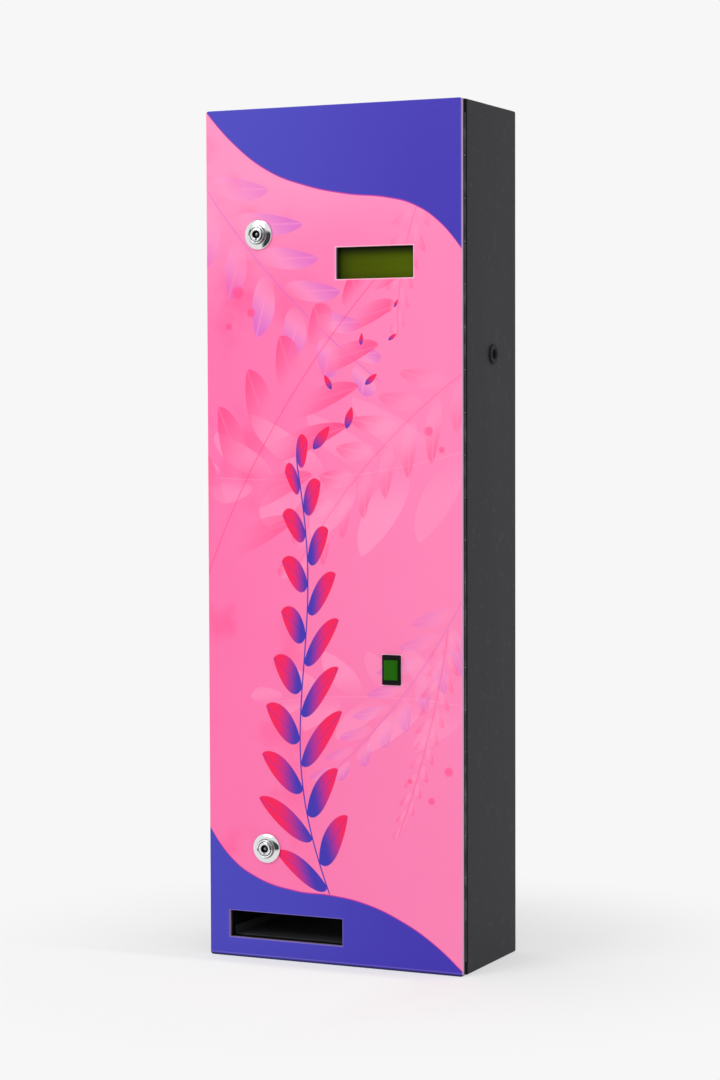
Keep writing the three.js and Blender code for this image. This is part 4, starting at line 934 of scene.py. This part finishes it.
# %% Push-button
BEZEL = (17.3, 26.0, 0.7)
SLEEVE = (15.0, 23.4, 0.4)
CAP_WIDE, CAP_TALL = 12.9, 17.4
MOUTH = (CAP_WIDE + 0.6, CAP_TALL + 0.6, 0.5)
ROOM = (CAP_WIDE + 0.6, 21.2, 0.3)
CAP_FOOT = (CAP_WIDE, 20.6, 0.3, 2)
CAP_CORNER = (0.6, 4)
BEZEL_FRONT, SLEEVE_FRONT, CAP_FOOT_FRONT = -1.6, -0.8, 5.9
MOUTH_CUT, ROOM_CUT = (-8, 6), (5.7, 30)
CAP_LEVELS = [(-4.0, 1.15), (-3.1, 0.12), (-2.9, 0.0), (6.0, 0.0)]


def button_pieces():
    middle, back = middle_of("button_cap"), box_of("button_cap")[1].y
    place = backwards_from(at(middle.x, 0, middle.z))
    bezel = prism("button_bezel", rounded_outline(*BEZEL), place, BEZEL_FRONT, FACE_SEAT)
    sleeve_end = box_of("button_housing")[1].y
    combine(bezel, prism("sleeve", rounded_outline(*SLEEVE), place, SLEEVE_FRONT, sleeve_end), "UNION")
    combine(bezel, prism("mouth", rounded_outline(*MOUTH), place, *MOUTH_CUT), "DIFFERENCE")
    combine(bezel, prism("room", rounded_outline(*ROOM), place, *ROOM_CUT), "DIFFERENCE")
    stand_for(bezel, "button_housing", 0.35, 3)

    work = bmesh.new()
    rings = []
    for f, inset in CAP_LEVELS:
        outline = rounded_outline(CAP_WIDE - 2 * inset, CAP_TALL - 2 * inset, *CAP_CORNER)
        rings.append([work.verts.new(place(x, y, f)) for x, y in outline])
    skin(work, rings)
    work.faces.new(rings[0])
    work.faces.new(rings[-1][::-1])
    cap = made_of("button_cap_moulded", work)
    combine(cap, prism("foot", rounded_outline(*CAP_FOOT), place, CAP_FOOT_FRONT, back), "UNION")
    stand_for(cap, "button_cap", 0.12, 2, 20)


button_pieces()

# %% [markdown]
# ## The button's spring
# A push spring has a close turn at each end and open turns between. This one stands on the contact
# block. The real one shortens as the cap comes in; here it keeps its free length.

# %% Button spring
WIRE = 0.45
TURNS = 5
STEPS_PER_TURN = 28
WIRE_SIDES = 10
CLOSE_TURN = WIRE * 2.05


def rise_at(turn, height):
    """How far the wire has climbed after this many turns, with a close turn at each end."""
    open_turn = (height - 2 * CLOSE_TURN) / (TURNS - 2)
    first, last = min(turn, 1), max(turn - TURNS + 1, 0)
    return CLOSE_TURN * first + open_turn * min(max(turn - 1, 0), TURNS - 2) + CLOSE_TURN * last


def button_spring():
    low, high = box_of("button_spring")
    middle, radius = (low + high) / 2, (high.x - low.x) / 2 - WIRE
    work = bmesh.new()
    rings = []
    for i in range(TURNS * STEPS_PER_TURN + 1):
        turn = i / STEPS_PER_TURN
        angle = 2 * math.pi * turn
        along = low.y + WIRE + rise_at(turn, high.y - low.y - 2 * WIRE)
        ring = []
        for side in range(WIRE_SIDES):
            around = 2 * math.pi * side / WIRE_SIDES
            out = radius + WIRE * math.cos(around)
            ring.append(work.verts.new(at(middle.x + out * math.cos(angle), along + WIRE * math.sin(around),
                                          middle.z + out * math.sin(angle))))
        rings.append(ring)
    skin(work, rings)
    work.faces.new(rings[0])
    work.faces.new(rings[-1])
    spring = made_of("button_spring_coil", work, 50)
    stand_for(spring, "button_spring")
    press = next(j for j in record["behaviour"]["joints"] if j["name"] == "button_press")
    long = (high.y - low.y) * MM
    at(middle.x, high.y, middle.z)
    (long - press["range_m"][1]) / long
    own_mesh(spring)


button_spring()
print("button made")

# %% [markdown]
# ## The cable grommet
# A soft ring that snaps into the hole in the side, with a rounded lip on each face of the sheet.

# %% Grommet
LIP = 1.8
INNER_LIP = [(4.5, 0.5), (4.9, 0), (8.0, 0), (8.55, 0.25), (8.75, 0.8), (8.75, LIP), (6.7, LIP)]
OUTER_LIP = [(6.7, -LIP), (8.75, -LIP), (8.75, -0.9), (8.5, -0.35), (7.9, 0), (5.6, 0), (4.8, -0.3),
             (4.5, -0.9)]


def grommet():
    low, high = box_of("cable_grommet")
    centre = at(0, (low.y + high.y) / 2, (low.z + high.z) / 2)
    section = from_start(low.x, INNER_LIP) + from_start(high.x, OUTER_LIP)
    ring = turned("cable_grommet_moulded", section, centre, "X")
    stand_for(ring, "cable_grommet", 0.15, 2, 25)


grommet()

# %% [markdown]
# ## The hinge pin
# The pin of a piano hinge is cut a little short and the last knuckles are nipped over it, so its ends
# lie sunk in the knuckles.

# %% Hinge pin
PIN_SUNK = 1.6


def hinge_pin():
    low, high = box_of("hinge_pin")
    middle, radius = (low + high) / 2, (high.x - low.x) / 2
    section = [*from_start(low.z + PIN_SUNK, [(0, 0), (radius - 0.3, 0), (radius, 0.4)]),
               *from_start(high.z - PIN_SUNK, [(radius, -0.4), (radius - 0.3, 0), (0, 0)])]
    stand_for(turned("hinge_pin_turned", section, at(middle.x, middle.y, 0), "Z", 32), "hinge_pin")


hinge_pin()

# %% [markdown]
# ## Motor, gearbox and capacitor
# The gear motor is two pressed cans on one axis, an output boss below it, and an end cap with two blades
# for wires. The capacitor is a can in a black sleeve that leaves the scored end bare. All are turned,
# with the rolled grooves that hold such cans together.

# %% Profiles of the round electrical parts
# Each is (radius, along), the first part from the piece's low end and the second from its high end
CAN_START = [(0, 0), (15.0, 0), (15.3, 0.3), (15.3, 2.5), (16.1, 2.5), (16.5, 2.9)]
CAN_END = [(16.5, -6.4), (16.0, -5.9), (16.0, -5.3), (16.5, -4.8), (16.5, -1.4), (16.1, -0.5), (15.3, 0),
           (0, 0)]
GEARBOX_START = [(0, 0), (17.3, 0), (17.9, 0.25), (18.5, 1.2), (18.5, 8.6), (18.0, 9.0), (18.0, 9.8),
                 (18.5, 10.2)]
GEARBOX_END = [(18.5, -1.6), (18.1, -1.2), (18.1, -0.4), (17.7, 0), (0, 0)]
END_CAP = [(0, 0), (13, 0), (13, 1.6), (12.6, 2.2), (11.8, 2.4), (5.2, 2.4), (5.0, 2.1), (4.4, 2.1),
           (4.2, 2.4), (0, 2.4)]
BLADE = [(-2.5, 0), (2.5, 0), (2.5, 5.4), (1.9, 6.9), (-1.9, 6.9), (-2.5, 5.4)]
BLADE_AWAY, BLADE_FOOT, BLADE_THICK, EYE_FROM_CAP = 6.5, 1.2, 0.8, 5.6
BLADE_EYE = [(0, -1), (0.9, -1), (0.9, 2), (0, 2)]
BORE = [(0, -9), (3.3, -9), (3.3, 12.6), (0, 12.6)]
BOSS_LONG = 3.2
BOSS_START, BOSS_END = [(0, 0), (5.6, 0), (6, 0.4)], [(6, 1), (0, 1)]
SLEEVE_START = [(0, 0.35), (4.9, 0.35), (5.2, 0), (5.9, 0), (6.3, 0.5)]
SLEEVE_END = [(6.3, -4.2), (5.8, -3.7), (5.8, -3.1), (6.3, -2.6), (6.3, -0.5), (5.9, 0), (0, 0)]
BARE_END = [(0, 0.1), (4.8, 0.1), (4.8, 0.34), (0, 0.34)]
SCORE_LONG, SCORE_WIDE, SCORE_DEEP = 4, 0.25, 0.22


# %% Round electrical parts
def spun_between(name, low, start, high, end, centre, axis):
    return turned(name, from_start(low, start) + from_start(high, end), centre, axis)


def motor_parts():
    middle = middle_of("motor_can")
    axis = at(0, middle.y, middle.z)
    low, high = box_of("motor_can")
    stand_for(spun_between("motor_can_turned", low.x, CAN_START, high.x, CAN_END, axis, "X"), "motor_can")

    low, high = box_of("gearbox")
    face = low.x + BOSS_LONG
    gearbox = spun_between("gearbox_turned", face, GEARBOX_START, high.x, GEARBOX_END, axis, "X")
    shaft = at(0, middle.y, middle_of("drive_shaft").z)
    boss = from_start(low.x, BOSS_START) + from_start(face, BOSS_END)
    combine(gearbox, turned("boss", boss, shaft, "X", 48), "UNION")
    combine(gearbox, turned("bore", from_start(face, BORE), shaft, "X", 48), "DIFFERENCE")
    stand_for(gearbox, "gearbox", 0.12, 1, 40)

    left = box_of("motor_end_cap")[0].x
    cap = turned("motor_end_cap_turned", from_start(left, END_CAP), axis, "X")
    for side in (-BLADE_AWAY, BLADE_AWAY):
        foot = left + BLADE_FOOT
        blade = prism("blade", BLADE, lambda x, y, z: axis + Vector((foot + y, side + x, z)) * MM, 0.0,
                      BLADE_THICK)
        eye = turned("eye", BLADE_EYE, axis + Vector((left + EYE_FROM_CAP, side, 0)) * MM, "Z", 20)
        combine(blade, eye, "DIFFERENCE")
        combine(cap, blade, "UNION")
    stand_for(cap, "motor_end_cap")


def capacitor():
    middle = middle_of("supply_capacitor")
    low, high = box_of("supply_capacitor")
    axis = at(middle.x, 0, middle.z)
    can = spun_between("supply_capacitor_turned", low.y, SLEEVE_START, high.y, SLEEVE_END, axis, "Y")
    stand_for(can, "supply_capacitor")
    end = turned("capacitor_end", from_start(low.y, BARE_END), axis, steps=40)
    for wide, tall in ((SCORE_LONG, SCORE_WIDE), (SCORE_WIDE, SCORE_LONG)):
        score = prism("score", box_outline(-wide, -tall, wide, tall), backwards_from(axis), low.y,
                      low.y + SCORE_DEEP)
        combine(end, score, "DIFFERENCE")
    mount(end, "cabinet", "spring_steel")


motor_parts()
capacitor()
print("motor and capacitor made")

# %% [markdown]
# ## Fasteners by rule
# A Geometry Nodes tree makes rivets, screws and nuts: it sets one head on every point of a small mesh,
# turns it to the direction stored there and gives it a random turn of its own. A head is a squashed
# ball with its lower half pressed flat, and a screw has a cross cut into it. The sizes are inputs.

# %% A Geometry Nodes tree with named inputs
class Maker(Graph):
    """A Geometry Nodes tree. sizes are its named inputs, with the values they start with."""

    def __init__(self, name, **sizes):
        super().__init__(bpy.data.node_groups.new(name, "GeometryNodeTree"))
        ports = self.tree.interface
        for way in ("OUTPUT", "INPUT"):
            ports.new_socket("Geometry", in_out=way, socket_type="NodeSocketGeometry")
        self.keys = {}
        for label, value in [*sizes.items(), ("Seed", 1), ("Material", None)]:
            kind = {int: "NodeSocketInt", float: "NodeSocketFloat"}.get(type(value), "NodeSocketMaterial")
            port = ports.new_socket(label, in_out="INPUT", socket_type=kind)
            if value is not None:
                port.default_value = value
            self.keys[label] = port.identifier
        self.given = Value(self, self.tree.nodes.new("NodeGroupInput").outputs[0])

    def end(self, shape):
        """Makes real geometry of the instances and gives it the finish."""
        real = self.node("RealizeInstances", shape)
        done = self.node("SetMaterial", real, Material=self.given["Material"])
        output = self.tree.nodes.new("NodeGroupOutput")
        self.tree.links.new(done.socket, output.inputs[0])
        return self

    def vector(self, x, y, z):
        return self.node("CombineXYZ", x, y, z)

    def block(self, x, y, z):
        return self.node("MeshCube", Size=self.vector(x, y, z))

    def moved(self, shape, x, y, z):
        return self.node("Transform", Geometry=shape, Translation=self.vector(x, y, z))

    def boolean(self, operation, first, second):
        """Two shapes combined. An intersection takes both through one socket."""
        if operation == "DIFFERENCE":
            return self.node("MeshBoolean", first, second, how={"operation": operation, "solver": "EXACT"})
        both = self.node("MeshBoolean", how={"operation": operation, "solver": "EXACT"})
        for shape in (first, second):
            self.tree.links.new(shape.socket, both.socket.node.inputs[1])
        return both

    def run(self, piece, slot, **values):
        """Runs the tree on a piece and leaves the result as its plain mesh."""
        change = piece.modifiers.new("make", "NODES")
        change.node_group = self.tree
        for label, value in {**values, "Material": finishes[slot]}.items():
            change[self.keys[label]] = value
        apply_modifiers(piece)


def spread(name, places, facing):
    """A point mesh whose points each hold the direction that they face."""
    mesh = bpy.data.meshes.new(name)
    mesh.from_pydata(places, [], [])
    store = mesh.attributes.new("facing", "FLOAT_VECTOR", "POINT")
    for i in range(len(places)):
        store.data[i].vector = facing
    return link(name, mesh)


# %% Trees for heads and nuts
def set_on_points(maker, head, smooth):
    """One head on every point, turned to its direction and spun at random about it."""
    head = maker.node("SetShadeSmooth", Geometry=head, Shade_Smooth=smooth)
    facing = maker.node("InputNamedAttribute", Name="facing", how={"data_type": "FLOAT_VECTOR"})
    upright = maker.node("AlignRotationToVector", Vector=facing, how={"axis": "Z"})
    angle = maker.node("RandomValue", Max=2 * math.pi, Seed=maker.given["Seed"], how={"data_type": "FLOAT"})
    spin = maker.node("AxisAngleToRotation", Axis=(0, 0, 1), Angle=angle)
    way = maker.node("RotateRotation", Rotation=upright, Rotate_By=spin, how={"rotation_space": "LOCAL"})
    return maker.node("InstanceOnPoints", Points=maker.given["Geometry"], Instance=head, Rotation=way)


def head_tree(name, cross):
    maker = Maker(name, Radius=0.002, Height=0.001, Flatness=1.0, Sink=0.0002, Recess=0.0006)
    radius, height = maker.given["Radius"], maker.given["Height"]
    head = maker.node("MeshUVSphere", Segments=24, Rings=10, Radius=radius)
    x, y, z = maker.node("InputPosition").axes()
    below = z.math("LESS_THAN", -0.00001)
    z = (most(z, 0.0) / radius) ** maker.given["Flatness"] * height - below * maker.given["Sink"]
    head = maker.node("SetPosition", Geometry=head, Position=maker.vector(x, y, z))
    if cross:
        wide, narrow, deep = radius * 1.15, maker.given["Recess"], height * 1.1
        for size in ((wide, narrow, deep), (narrow, wide, deep)):
            arm = maker.moved(maker.block(*size), 0.0, 0.0, height)
            head = maker.boolean("DIFFERENCE", head, arm)
    return maker.end(set_on_points(maker, head, not cross))


def nut_tree():
    maker = Maker("nut", Radius=0.003, Height=0.0024, Bore=0.0015)
    radius, height = maker.given["Radius"], maker.given["Height"]
    hexagon = maker.node("MeshCylinder", Vertices=6, Radius=radius, Depth=height)
    cone = maker.node("MeshCone", Vertices=30, Radius_Top=radius * 0.82, Radius_Bottom=radius * 1.3,
                      Depth=height)
    crowned = maker.boolean("INTERSECT", hexagon, maker.moved(cone, 0.0, 0.0, height * -0.5))
    bore = maker.node("MeshCylinder", Vertices=16, Radius=maker.given["Bore"], Depth=height * 3)
    return maker.end(set_on_points(maker, maker.boolean("DIFFERENCE", crowned, bore), False))


rivet, screw, nut = head_tree("rivet", False), head_tree("screw", True), nut_tree()

# %% [markdown]
# ## Where the fasteners sit
# Each fastener seats on the face of the piece that it holds, so its place comes from that piece's box.
# A size is the radius and height of a head, how flat it is, and how wide its cross is.

# %% Sizes and places
FRONTWARD, BACKWARD, LEFTWARD, UPWARD = (0, -1, 0), (0, 1, 0), (-1, 0, 0), (0, 0, 1)
HEAD = ("Radius", "Height", "Flatness", "Recess")
NUT = ("Radius", "Height", "Bore")
RIVET_SIZE = (2.1, 0.8)
PAN_SIZE = (3.2, 2.0, 0.5, 0.8)
SMALL_SIZE = (1.5, 1.0, 0.5, 0.5)
SUPPLY_SIZE = (2.2, 1.3, 0.6, 0.6)
TERMINAL_SIZE = (2.9, 1.8, 0.5, 0.8)
CONNECTOR_SIZE = (1.9, 0.5, 0.4, 0.5)
MOTOR_SIZE = (2.4, 0.9, 0.5, 0.6)
NUT_SIZE = (3.1, 2.4, 1.5)


def fasten(name, tree, size, seed, places, facing, slot="spring_steel", body="cabinet", labels=HEAD):
    piece = spread(name, [at(*place) for place in places], facing)
    sizes = {label: value * (1 if label == "Flatness" else MM) for label, value in zip(labels, size)}
    tree.run(piece, slot, Seed=seed, **sizes)
    mount(piece, body, slot)
    print(name, len(places), "on", body)


def on_face(us, f, zs):
    """Every place on an upright face at f that has one of these u and one of these z."""
    return [(u, f, z) for u in us for z in zs]


def ways(node, count, margin=0.0):
    """The middles of a terminal strip's ways along u."""
    low, high = box_of(node)
    step = (high.x - low.x - margin) / count
    return [low.x + margin / 2 + (i + 0.5) * step for i in range(count)]


# %% Rivets along the hinge
HINGE_RIVETS = 10
LEAF_THICK = 0.9
RIVET_INSET = 4.6
leaf_low, leaf_high = box_of("hinge_leaf_door")
case_leaf_back = box_of("hinge_leaf_cabinet")[1].y
tall = leaf_high.z - leaf_low.z
levels = [leaf_low.z + (i + 0.25) * tall / HINGE_RIVETS for i in range(HINGE_RIVETS)]
rivet_u = [leaf_low.x + RIVET_INSET]
fasten("door_leaf_rivets", rivet, RIVET_SIZE, 3, on_face(rivet_u, leaf_low.y + LEAF_THICK, levels), BACKWARD,
       "zinc_steel", "door")
fasten("case_leaf_rivets", rivet, RIVET_SIZE, 4, on_face(rivet_u, case_leaf_back - LEAF_THICK, levels),
       FRONTWARD, "zinc_steel")

# %% Screws of the boards and terminals
# Name, node, size, seed, and insets from the node's sides, foot and top
PLATE_SHEET = 1.2
for name, node, size, seed, side, foot, top in [
        ("plate_screws", "board_plate", PAN_SIZE, 5, 7, 14, 14),
        ("board_screws", "control_board", SMALL_SIZE, 6, 15.8, 5, 5),
        ("supply_screws", "power_supply_case", SUPPLY_SIZE, 7, 5, 22, 5)]:
    low, high = box_of(node)
    seat = high.y - PLATE_SHEET if node == "board_plate" else low.y
    fasten(name, screw, size, seed, on_face(
        (low.x + side, high.x - side), seat, (low.z + foot, high.z - top)), FRONTWARD)

STRIP_BASE = 6.0
BARRIER = 1.4
for strip, count in (("power_supply_terminals", 6), ("mains_terminals", 3)):
    low, high = box_of(strip)
    fasten(strip + "_screws", screw, TERMINAL_SIZE, 8, on_face(
        ways(strip, count, BARRIER), high.y - STRIP_BASE, [(low.z + high.z) / 2]), FRONTWARD, "brass")

CONNECTOR_WAYS = 7
SCREW_DEPTH = 6.2
low, high = box_of("wiring_connector")
fasten("connector_screws", screw, CONNECTOR_SIZE, 9, on_face(
    ways("wiring_connector", CONNECTOR_WAYS), low.y + SCREW_DEPTH, [high.z]), UPWARD, "zinc_steel")

# %% Screws of the motor and nuts of the display
MOTOR_SCREW_RADIUS = 14.5
BRACKET_SHEET = 2.0
FOOT_SCREW_U, FOOT_SCREW_F = 6, 7
low, high = box_of("motor_bracket")
motor = middle_of("motor_can")
angles = [math.radians(a) for a in (90, 210, 330)]
fasten("motor_screws", screw, MOTOR_SIZE, 10, [
    (low.x, motor.y + MOTOR_SCREW_RADIUS * math.cos(a), motor.z + MOTOR_SCREW_RADIUS * math.sin(a))
    for a in angles], LEFTWARD)
fasten("foot_screws", screw, PAN_SIZE, 11, [
    (high.x - FOOT_SCREW_U, f, low.z + BRACKET_SHEET)
    for f in (low.y + FOOT_SCREW_F, high.y - FOOT_SCREW_F)], UPWARD)

STUD_U, STUD_Z = 46, 27
NUT_MIDDLE = 1.25
window, behind = middle_of("display_glass"), box_of("display_board")[1].y + NUT_MIDDLE
fasten("display_nuts", nut, NUT_SIZE, 12, on_face(
    (window.x - STUD_U, window.x + STUD_U), behind, (window.z - STUD_Z, window.z + STUD_Z)), BACKWARD,
    "zinc_steel", "door", NUT)

# %% [markdown]
# ## Small parts on the boards
# A tree lays a grid over each free strip of the board, drops a random share of its points, and sets a
# little block on each of the rest. It is made twice, once for the dark bodies and once for their tinned
# ends, and both run with one seed, so they agree.

# %% Chip parts by rule
def grid_maker(name, **sizes):
    """A tree with inputs for a grid's width and height and for the length and thickness of a block."""
    maker = Maker(name, Wide=0.01, Tall=0.01, **sizes)
    return maker, *[maker.given[label] for label in ("Wide", "Tall", "Long", "Thick")]


def chip_tree(ends):
    maker, wide, tall, long, thick = grid_maker("chip_ends" if ends else "chip_bodies", Long=0.0032,
                                                Thick=0.001, Keep=0.7, Columns=8, Rows=4)
    lay = maker.node("MeshGrid", wide, tall, maker.given["Columns"], maker.given["Rows"])
    seed = maker.given["Seed"]
    kept = maker.node("RandomValue", how={"data_type": "BOOLEAN"}, Probability=maker.given["Keep"], Seed=seed)
    quarter = maker.node("RandomValue", how={"data_type": "INT"}, Min=0, Max=1, Seed=seed)
    if ends:
        tip = maker.block(long * 0.24, long * 0.56, thick * 1.1)
        block = maker.node("JoinGeometry")
        for side in (-0.4, 0.4):
            one = maker.moved(tip, long * side, 0.0, thick * 0.5)
            maker.tree.links.new(one.socket, block.socket.node.inputs[0])
    else:
        block = maker.moved(maker.block(long * 0.62, long * 0.5, thick), 0.0, 0.0, thick * 0.5)
    spin = maker.node("AxisAngleToRotation", Axis=(0, 0, 1), Angle=quarter * (math.pi / 2))
    return maker.end(maker.node("InstanceOnPoints", lay, kept, block, Rotation=spin))


def pin_tree():
    maker, wide, tall, long, thick = grid_maker("pins", Long=0.0014, Thick=0.0004, Columns=8)
    lay = maker.node("MeshGrid", wide, tall, 2, maker.given["Columns"])
    foot = maker.moved(maker.block(long, thick * 1.2, thick), 0.0, 0.0, thick * 0.6)
    return maker.end(maker.node("InstanceOnPoints", Points=lay, Instance=foot))


def lay_on_board(name, tree, slot, low, high, **sizes):
    """Runs a tree that works flat about the origin, and lays the result on the board's front face."""
    middle = at((low[0] + high[0]) / 2, box_of("control_board")[0].y, (low[1] + high[1]) / 2)
    piece = link(name, bpy.data.meshes.new(name))
    tree.run(piece, slot, Wide=(high[0] - low[0]) * MM, Tall=(high[1] - low[1]) * MM, **sizes)
    piece.data.transform(Matrix.Translation(middle) @ Matrix.Rotation(math.pi / 2, 4, "X"))
    mount(piece, "cabinet", slot)
    print(name, len(piece.data.polygons), "faces")


# %% Lay the small parts
STRIPS = [
    ("lower", (158, 342), (204, 358), dict(Columns=9, Rows=4, Seed=21)),
    ("upper", (154, 383), (224, 392), dict(Columns=13, Rows=3, Seed=22)),
    ("left", (154, 362), (166, 380), dict(Columns=3, Rows=4, Seed=23)),
    ("right", (192, 362), (224, 380), dict(Columns=6, Rows=4, Seed=24)),
]
PIN_REACH = 0.6
PIN_ROW_INSET = 1.2
bodies, ends = chip_tree(False), chip_tree(True)
for place, low, high, sizes in STRIPS:
    lay_on_board("chips_" + place, bodies, "black_plastic", low, high, **sizes)
    lay_on_board("chip_ends_" + place, ends, "zinc_steel", low, high, **sizes)
low, high = box_of("control_chip")
lay_on_board("control_chip_pins", pin_tree(), "zinc_steel", (low.x - PIN_REACH, low.z + PIN_ROW_INSET),
             (high.x + PIN_REACH, high.z - PIN_ROW_INSET), Columns=9)

# %% [markdown]
# ## Everything else keeps its solid
# The remaining solids are right as they are and only need edges and a finish. Heavier sheet gets a
# wider edge than small mouldings.

# %% Dress the rest
EDGES = {
    "cabinet_shell": 0.45, "fascia_panel": 0.3, "door_panel": 0.35, "door_frame": 0.3, "cabinet_frame": 0.3,
    "follower_weight": 0.5, "eject_rack": 0.12, "drive_pinion": 0.1, "hinge_leaf_door": 0.12,
    "hinge_leaf_cabinet": 0.12, "wiring_connector": 0.15, "control_chip": 0.1,
}
stood_for = {n for o in bpy.data.objects for n in o.get("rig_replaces", [])}
for node in sorted(set(body_of) - stood_for):
    dress(node, EDGES.get(node, 0.2))
print("dressed", len(set(body_of) - stood_for), "solids")

# %% [markdown]
# ## Floor and light
# A pale floor fades into an equally pale surround, so there is no horizon. The surround lights the
# machine softly from everywhere, and three large lamps give the shapes a lit side. Chrome in a white
# room looks like paper, so floor and surround turn dark in one wide wedge, for rays that bounce off
# something glossy. Just ahead of the machine the floor glows more, or the print would tint it pink.

# %% Floor and surround
SURROUND = 0.93
SURROUND_LIGHT = 0.55
FLOOR_SIZE = 14.0
FLOOR_GLOW = 0.5
DARK_SIDE = Vector((0.40, -0.92))
DARK_DEPTH = 0.95


def dark_side(x, y):
    """1 in a wide wedge in front of the machine and to its right, and 0 elsewhere."""
    facing = (x * DARK_SIDE.x + y * DARK_SIDE.y) / ((x * x + y * y).math("SQRT") + 0.001)
    return facing.step(0.72, 0.86)


def pale_floor():
    work = bmesh.new()
    bmesh.ops.create_grid(work, x_segments=8, y_segments=8, size=FLOOR_SIZE / 2)
    mesh = bpy.data.meshes.new("floor")
    work.to_mesh(mesh)
    work.free()
    floor = link("floor", mesh)
    finish = Finish("pale_floor")
    x, y, _ = finish.spot.axes()
    far = (x * x + y * y).math("SQRT")
    finish.set(base_color=(0.92, 0.92, 0.92), roughness=0.9, specular_ior_level=0.1)
    dark = dark_side(x, y) * far.step(0.4, 0.7) * finish.node("LightPath")["Is Glossy Ray"]
    glow = finish.node("Emission", Color=(SURROUND,) * 3, Strength=1 - dark * DARK_DEPTH)
    ahead = y.step(-0.055, -0.1) * x.step(0.2, 0.05)
    fade = most(most(far.step(0.15, 0.46) * (1 - FLOOR_GLOW) + FLOOR_GLOW, ahead * 0.85), dark)
    whole = finish.node("MixShader", fade, Value(finish, finish.shader.outputs[0]), glow)
    finish.feed(finish.tree.nodes["Material Output"].inputs["Surface"], whole)
    mesh.materials.append(finish.material)
    floor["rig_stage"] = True


def surround():
    world = bpy.data.worlds.new("surround")
    bpy.context.scene.world = world
    world.use_nodes = True
    graph = Graph(world.node_tree)
    ray = graph.node("LightPath")
    mirrored = ray["Is Glossy Ray"]
    seen = most(most(ray["Is Camera Ray"], mirrored), ray["Is Transmission Ray"])
    x, y, z = graph.node("TexCoord")["Generated"].axes()
    dark = dark_side(x, y) * z.step(0.3, 0.12) * mirrored
    strength = (seen * (SURROUND - SURROUND_LIGHT) + SURROUND_LIGHT) * (1 - dark * DARK_DEPTH)
    back = world.node_tree.nodes["Background"]
    graph.feed(back.inputs["Color"], (1.0, 1.0, 1.0))
    graph.feed(back.inputs["Strength"], strength)


pale_floor()
surround()
print("floor and surround made")


# %% Lamps
def lamp(name, place, aim, size, power, mirrored=True):
    data = bpy.data.lights.new(name, "AREA")
    data.shape = "RECTANGLE"
    data.size, data.size_y = size
    data.energy = power
    light = bpy.data.objects.new(name, data)
    bpy.context.scene.collection.objects.link(light)
    light.location = place
    light.visible_glossy = mirrored
    light.rotation_euler = (Vector(aim) - Vector(place)).to_track_quat("-Z", "Y").to_euler()
    print(name, power, "W")


lamp("key", (-1.2, -2.6, 2.3), (0, 0, 0.4), (1.6, 1.6), 42)
lamp("front_fill", (1.6, -2.6, 1.0), (0, 0, 0.35), (1.4, 2.0), 16, mirrored=False)
lamp("top", (0.2, 0.2, 2.8), (0, 0, 0.3), (1.6, 1.6), 14)

# %% [markdown]
# ## Measure and finish
# The visual model is meant to stay inside the solids' box. Both boxes are gathered in sizes, and the
# visual one is printed, as the solids' box was at the start.

# %% Sizes
shown_low, shown_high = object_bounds()
sizes = {
    "solids": [list(solid_low), list(solid_high)],
    "visual": [list(shown_low), list(shown_high)],
}
print("visual from", [round(v / MM, 1) for v in shown_low], "to", [round(v / MM, 1) for v in shown_high])
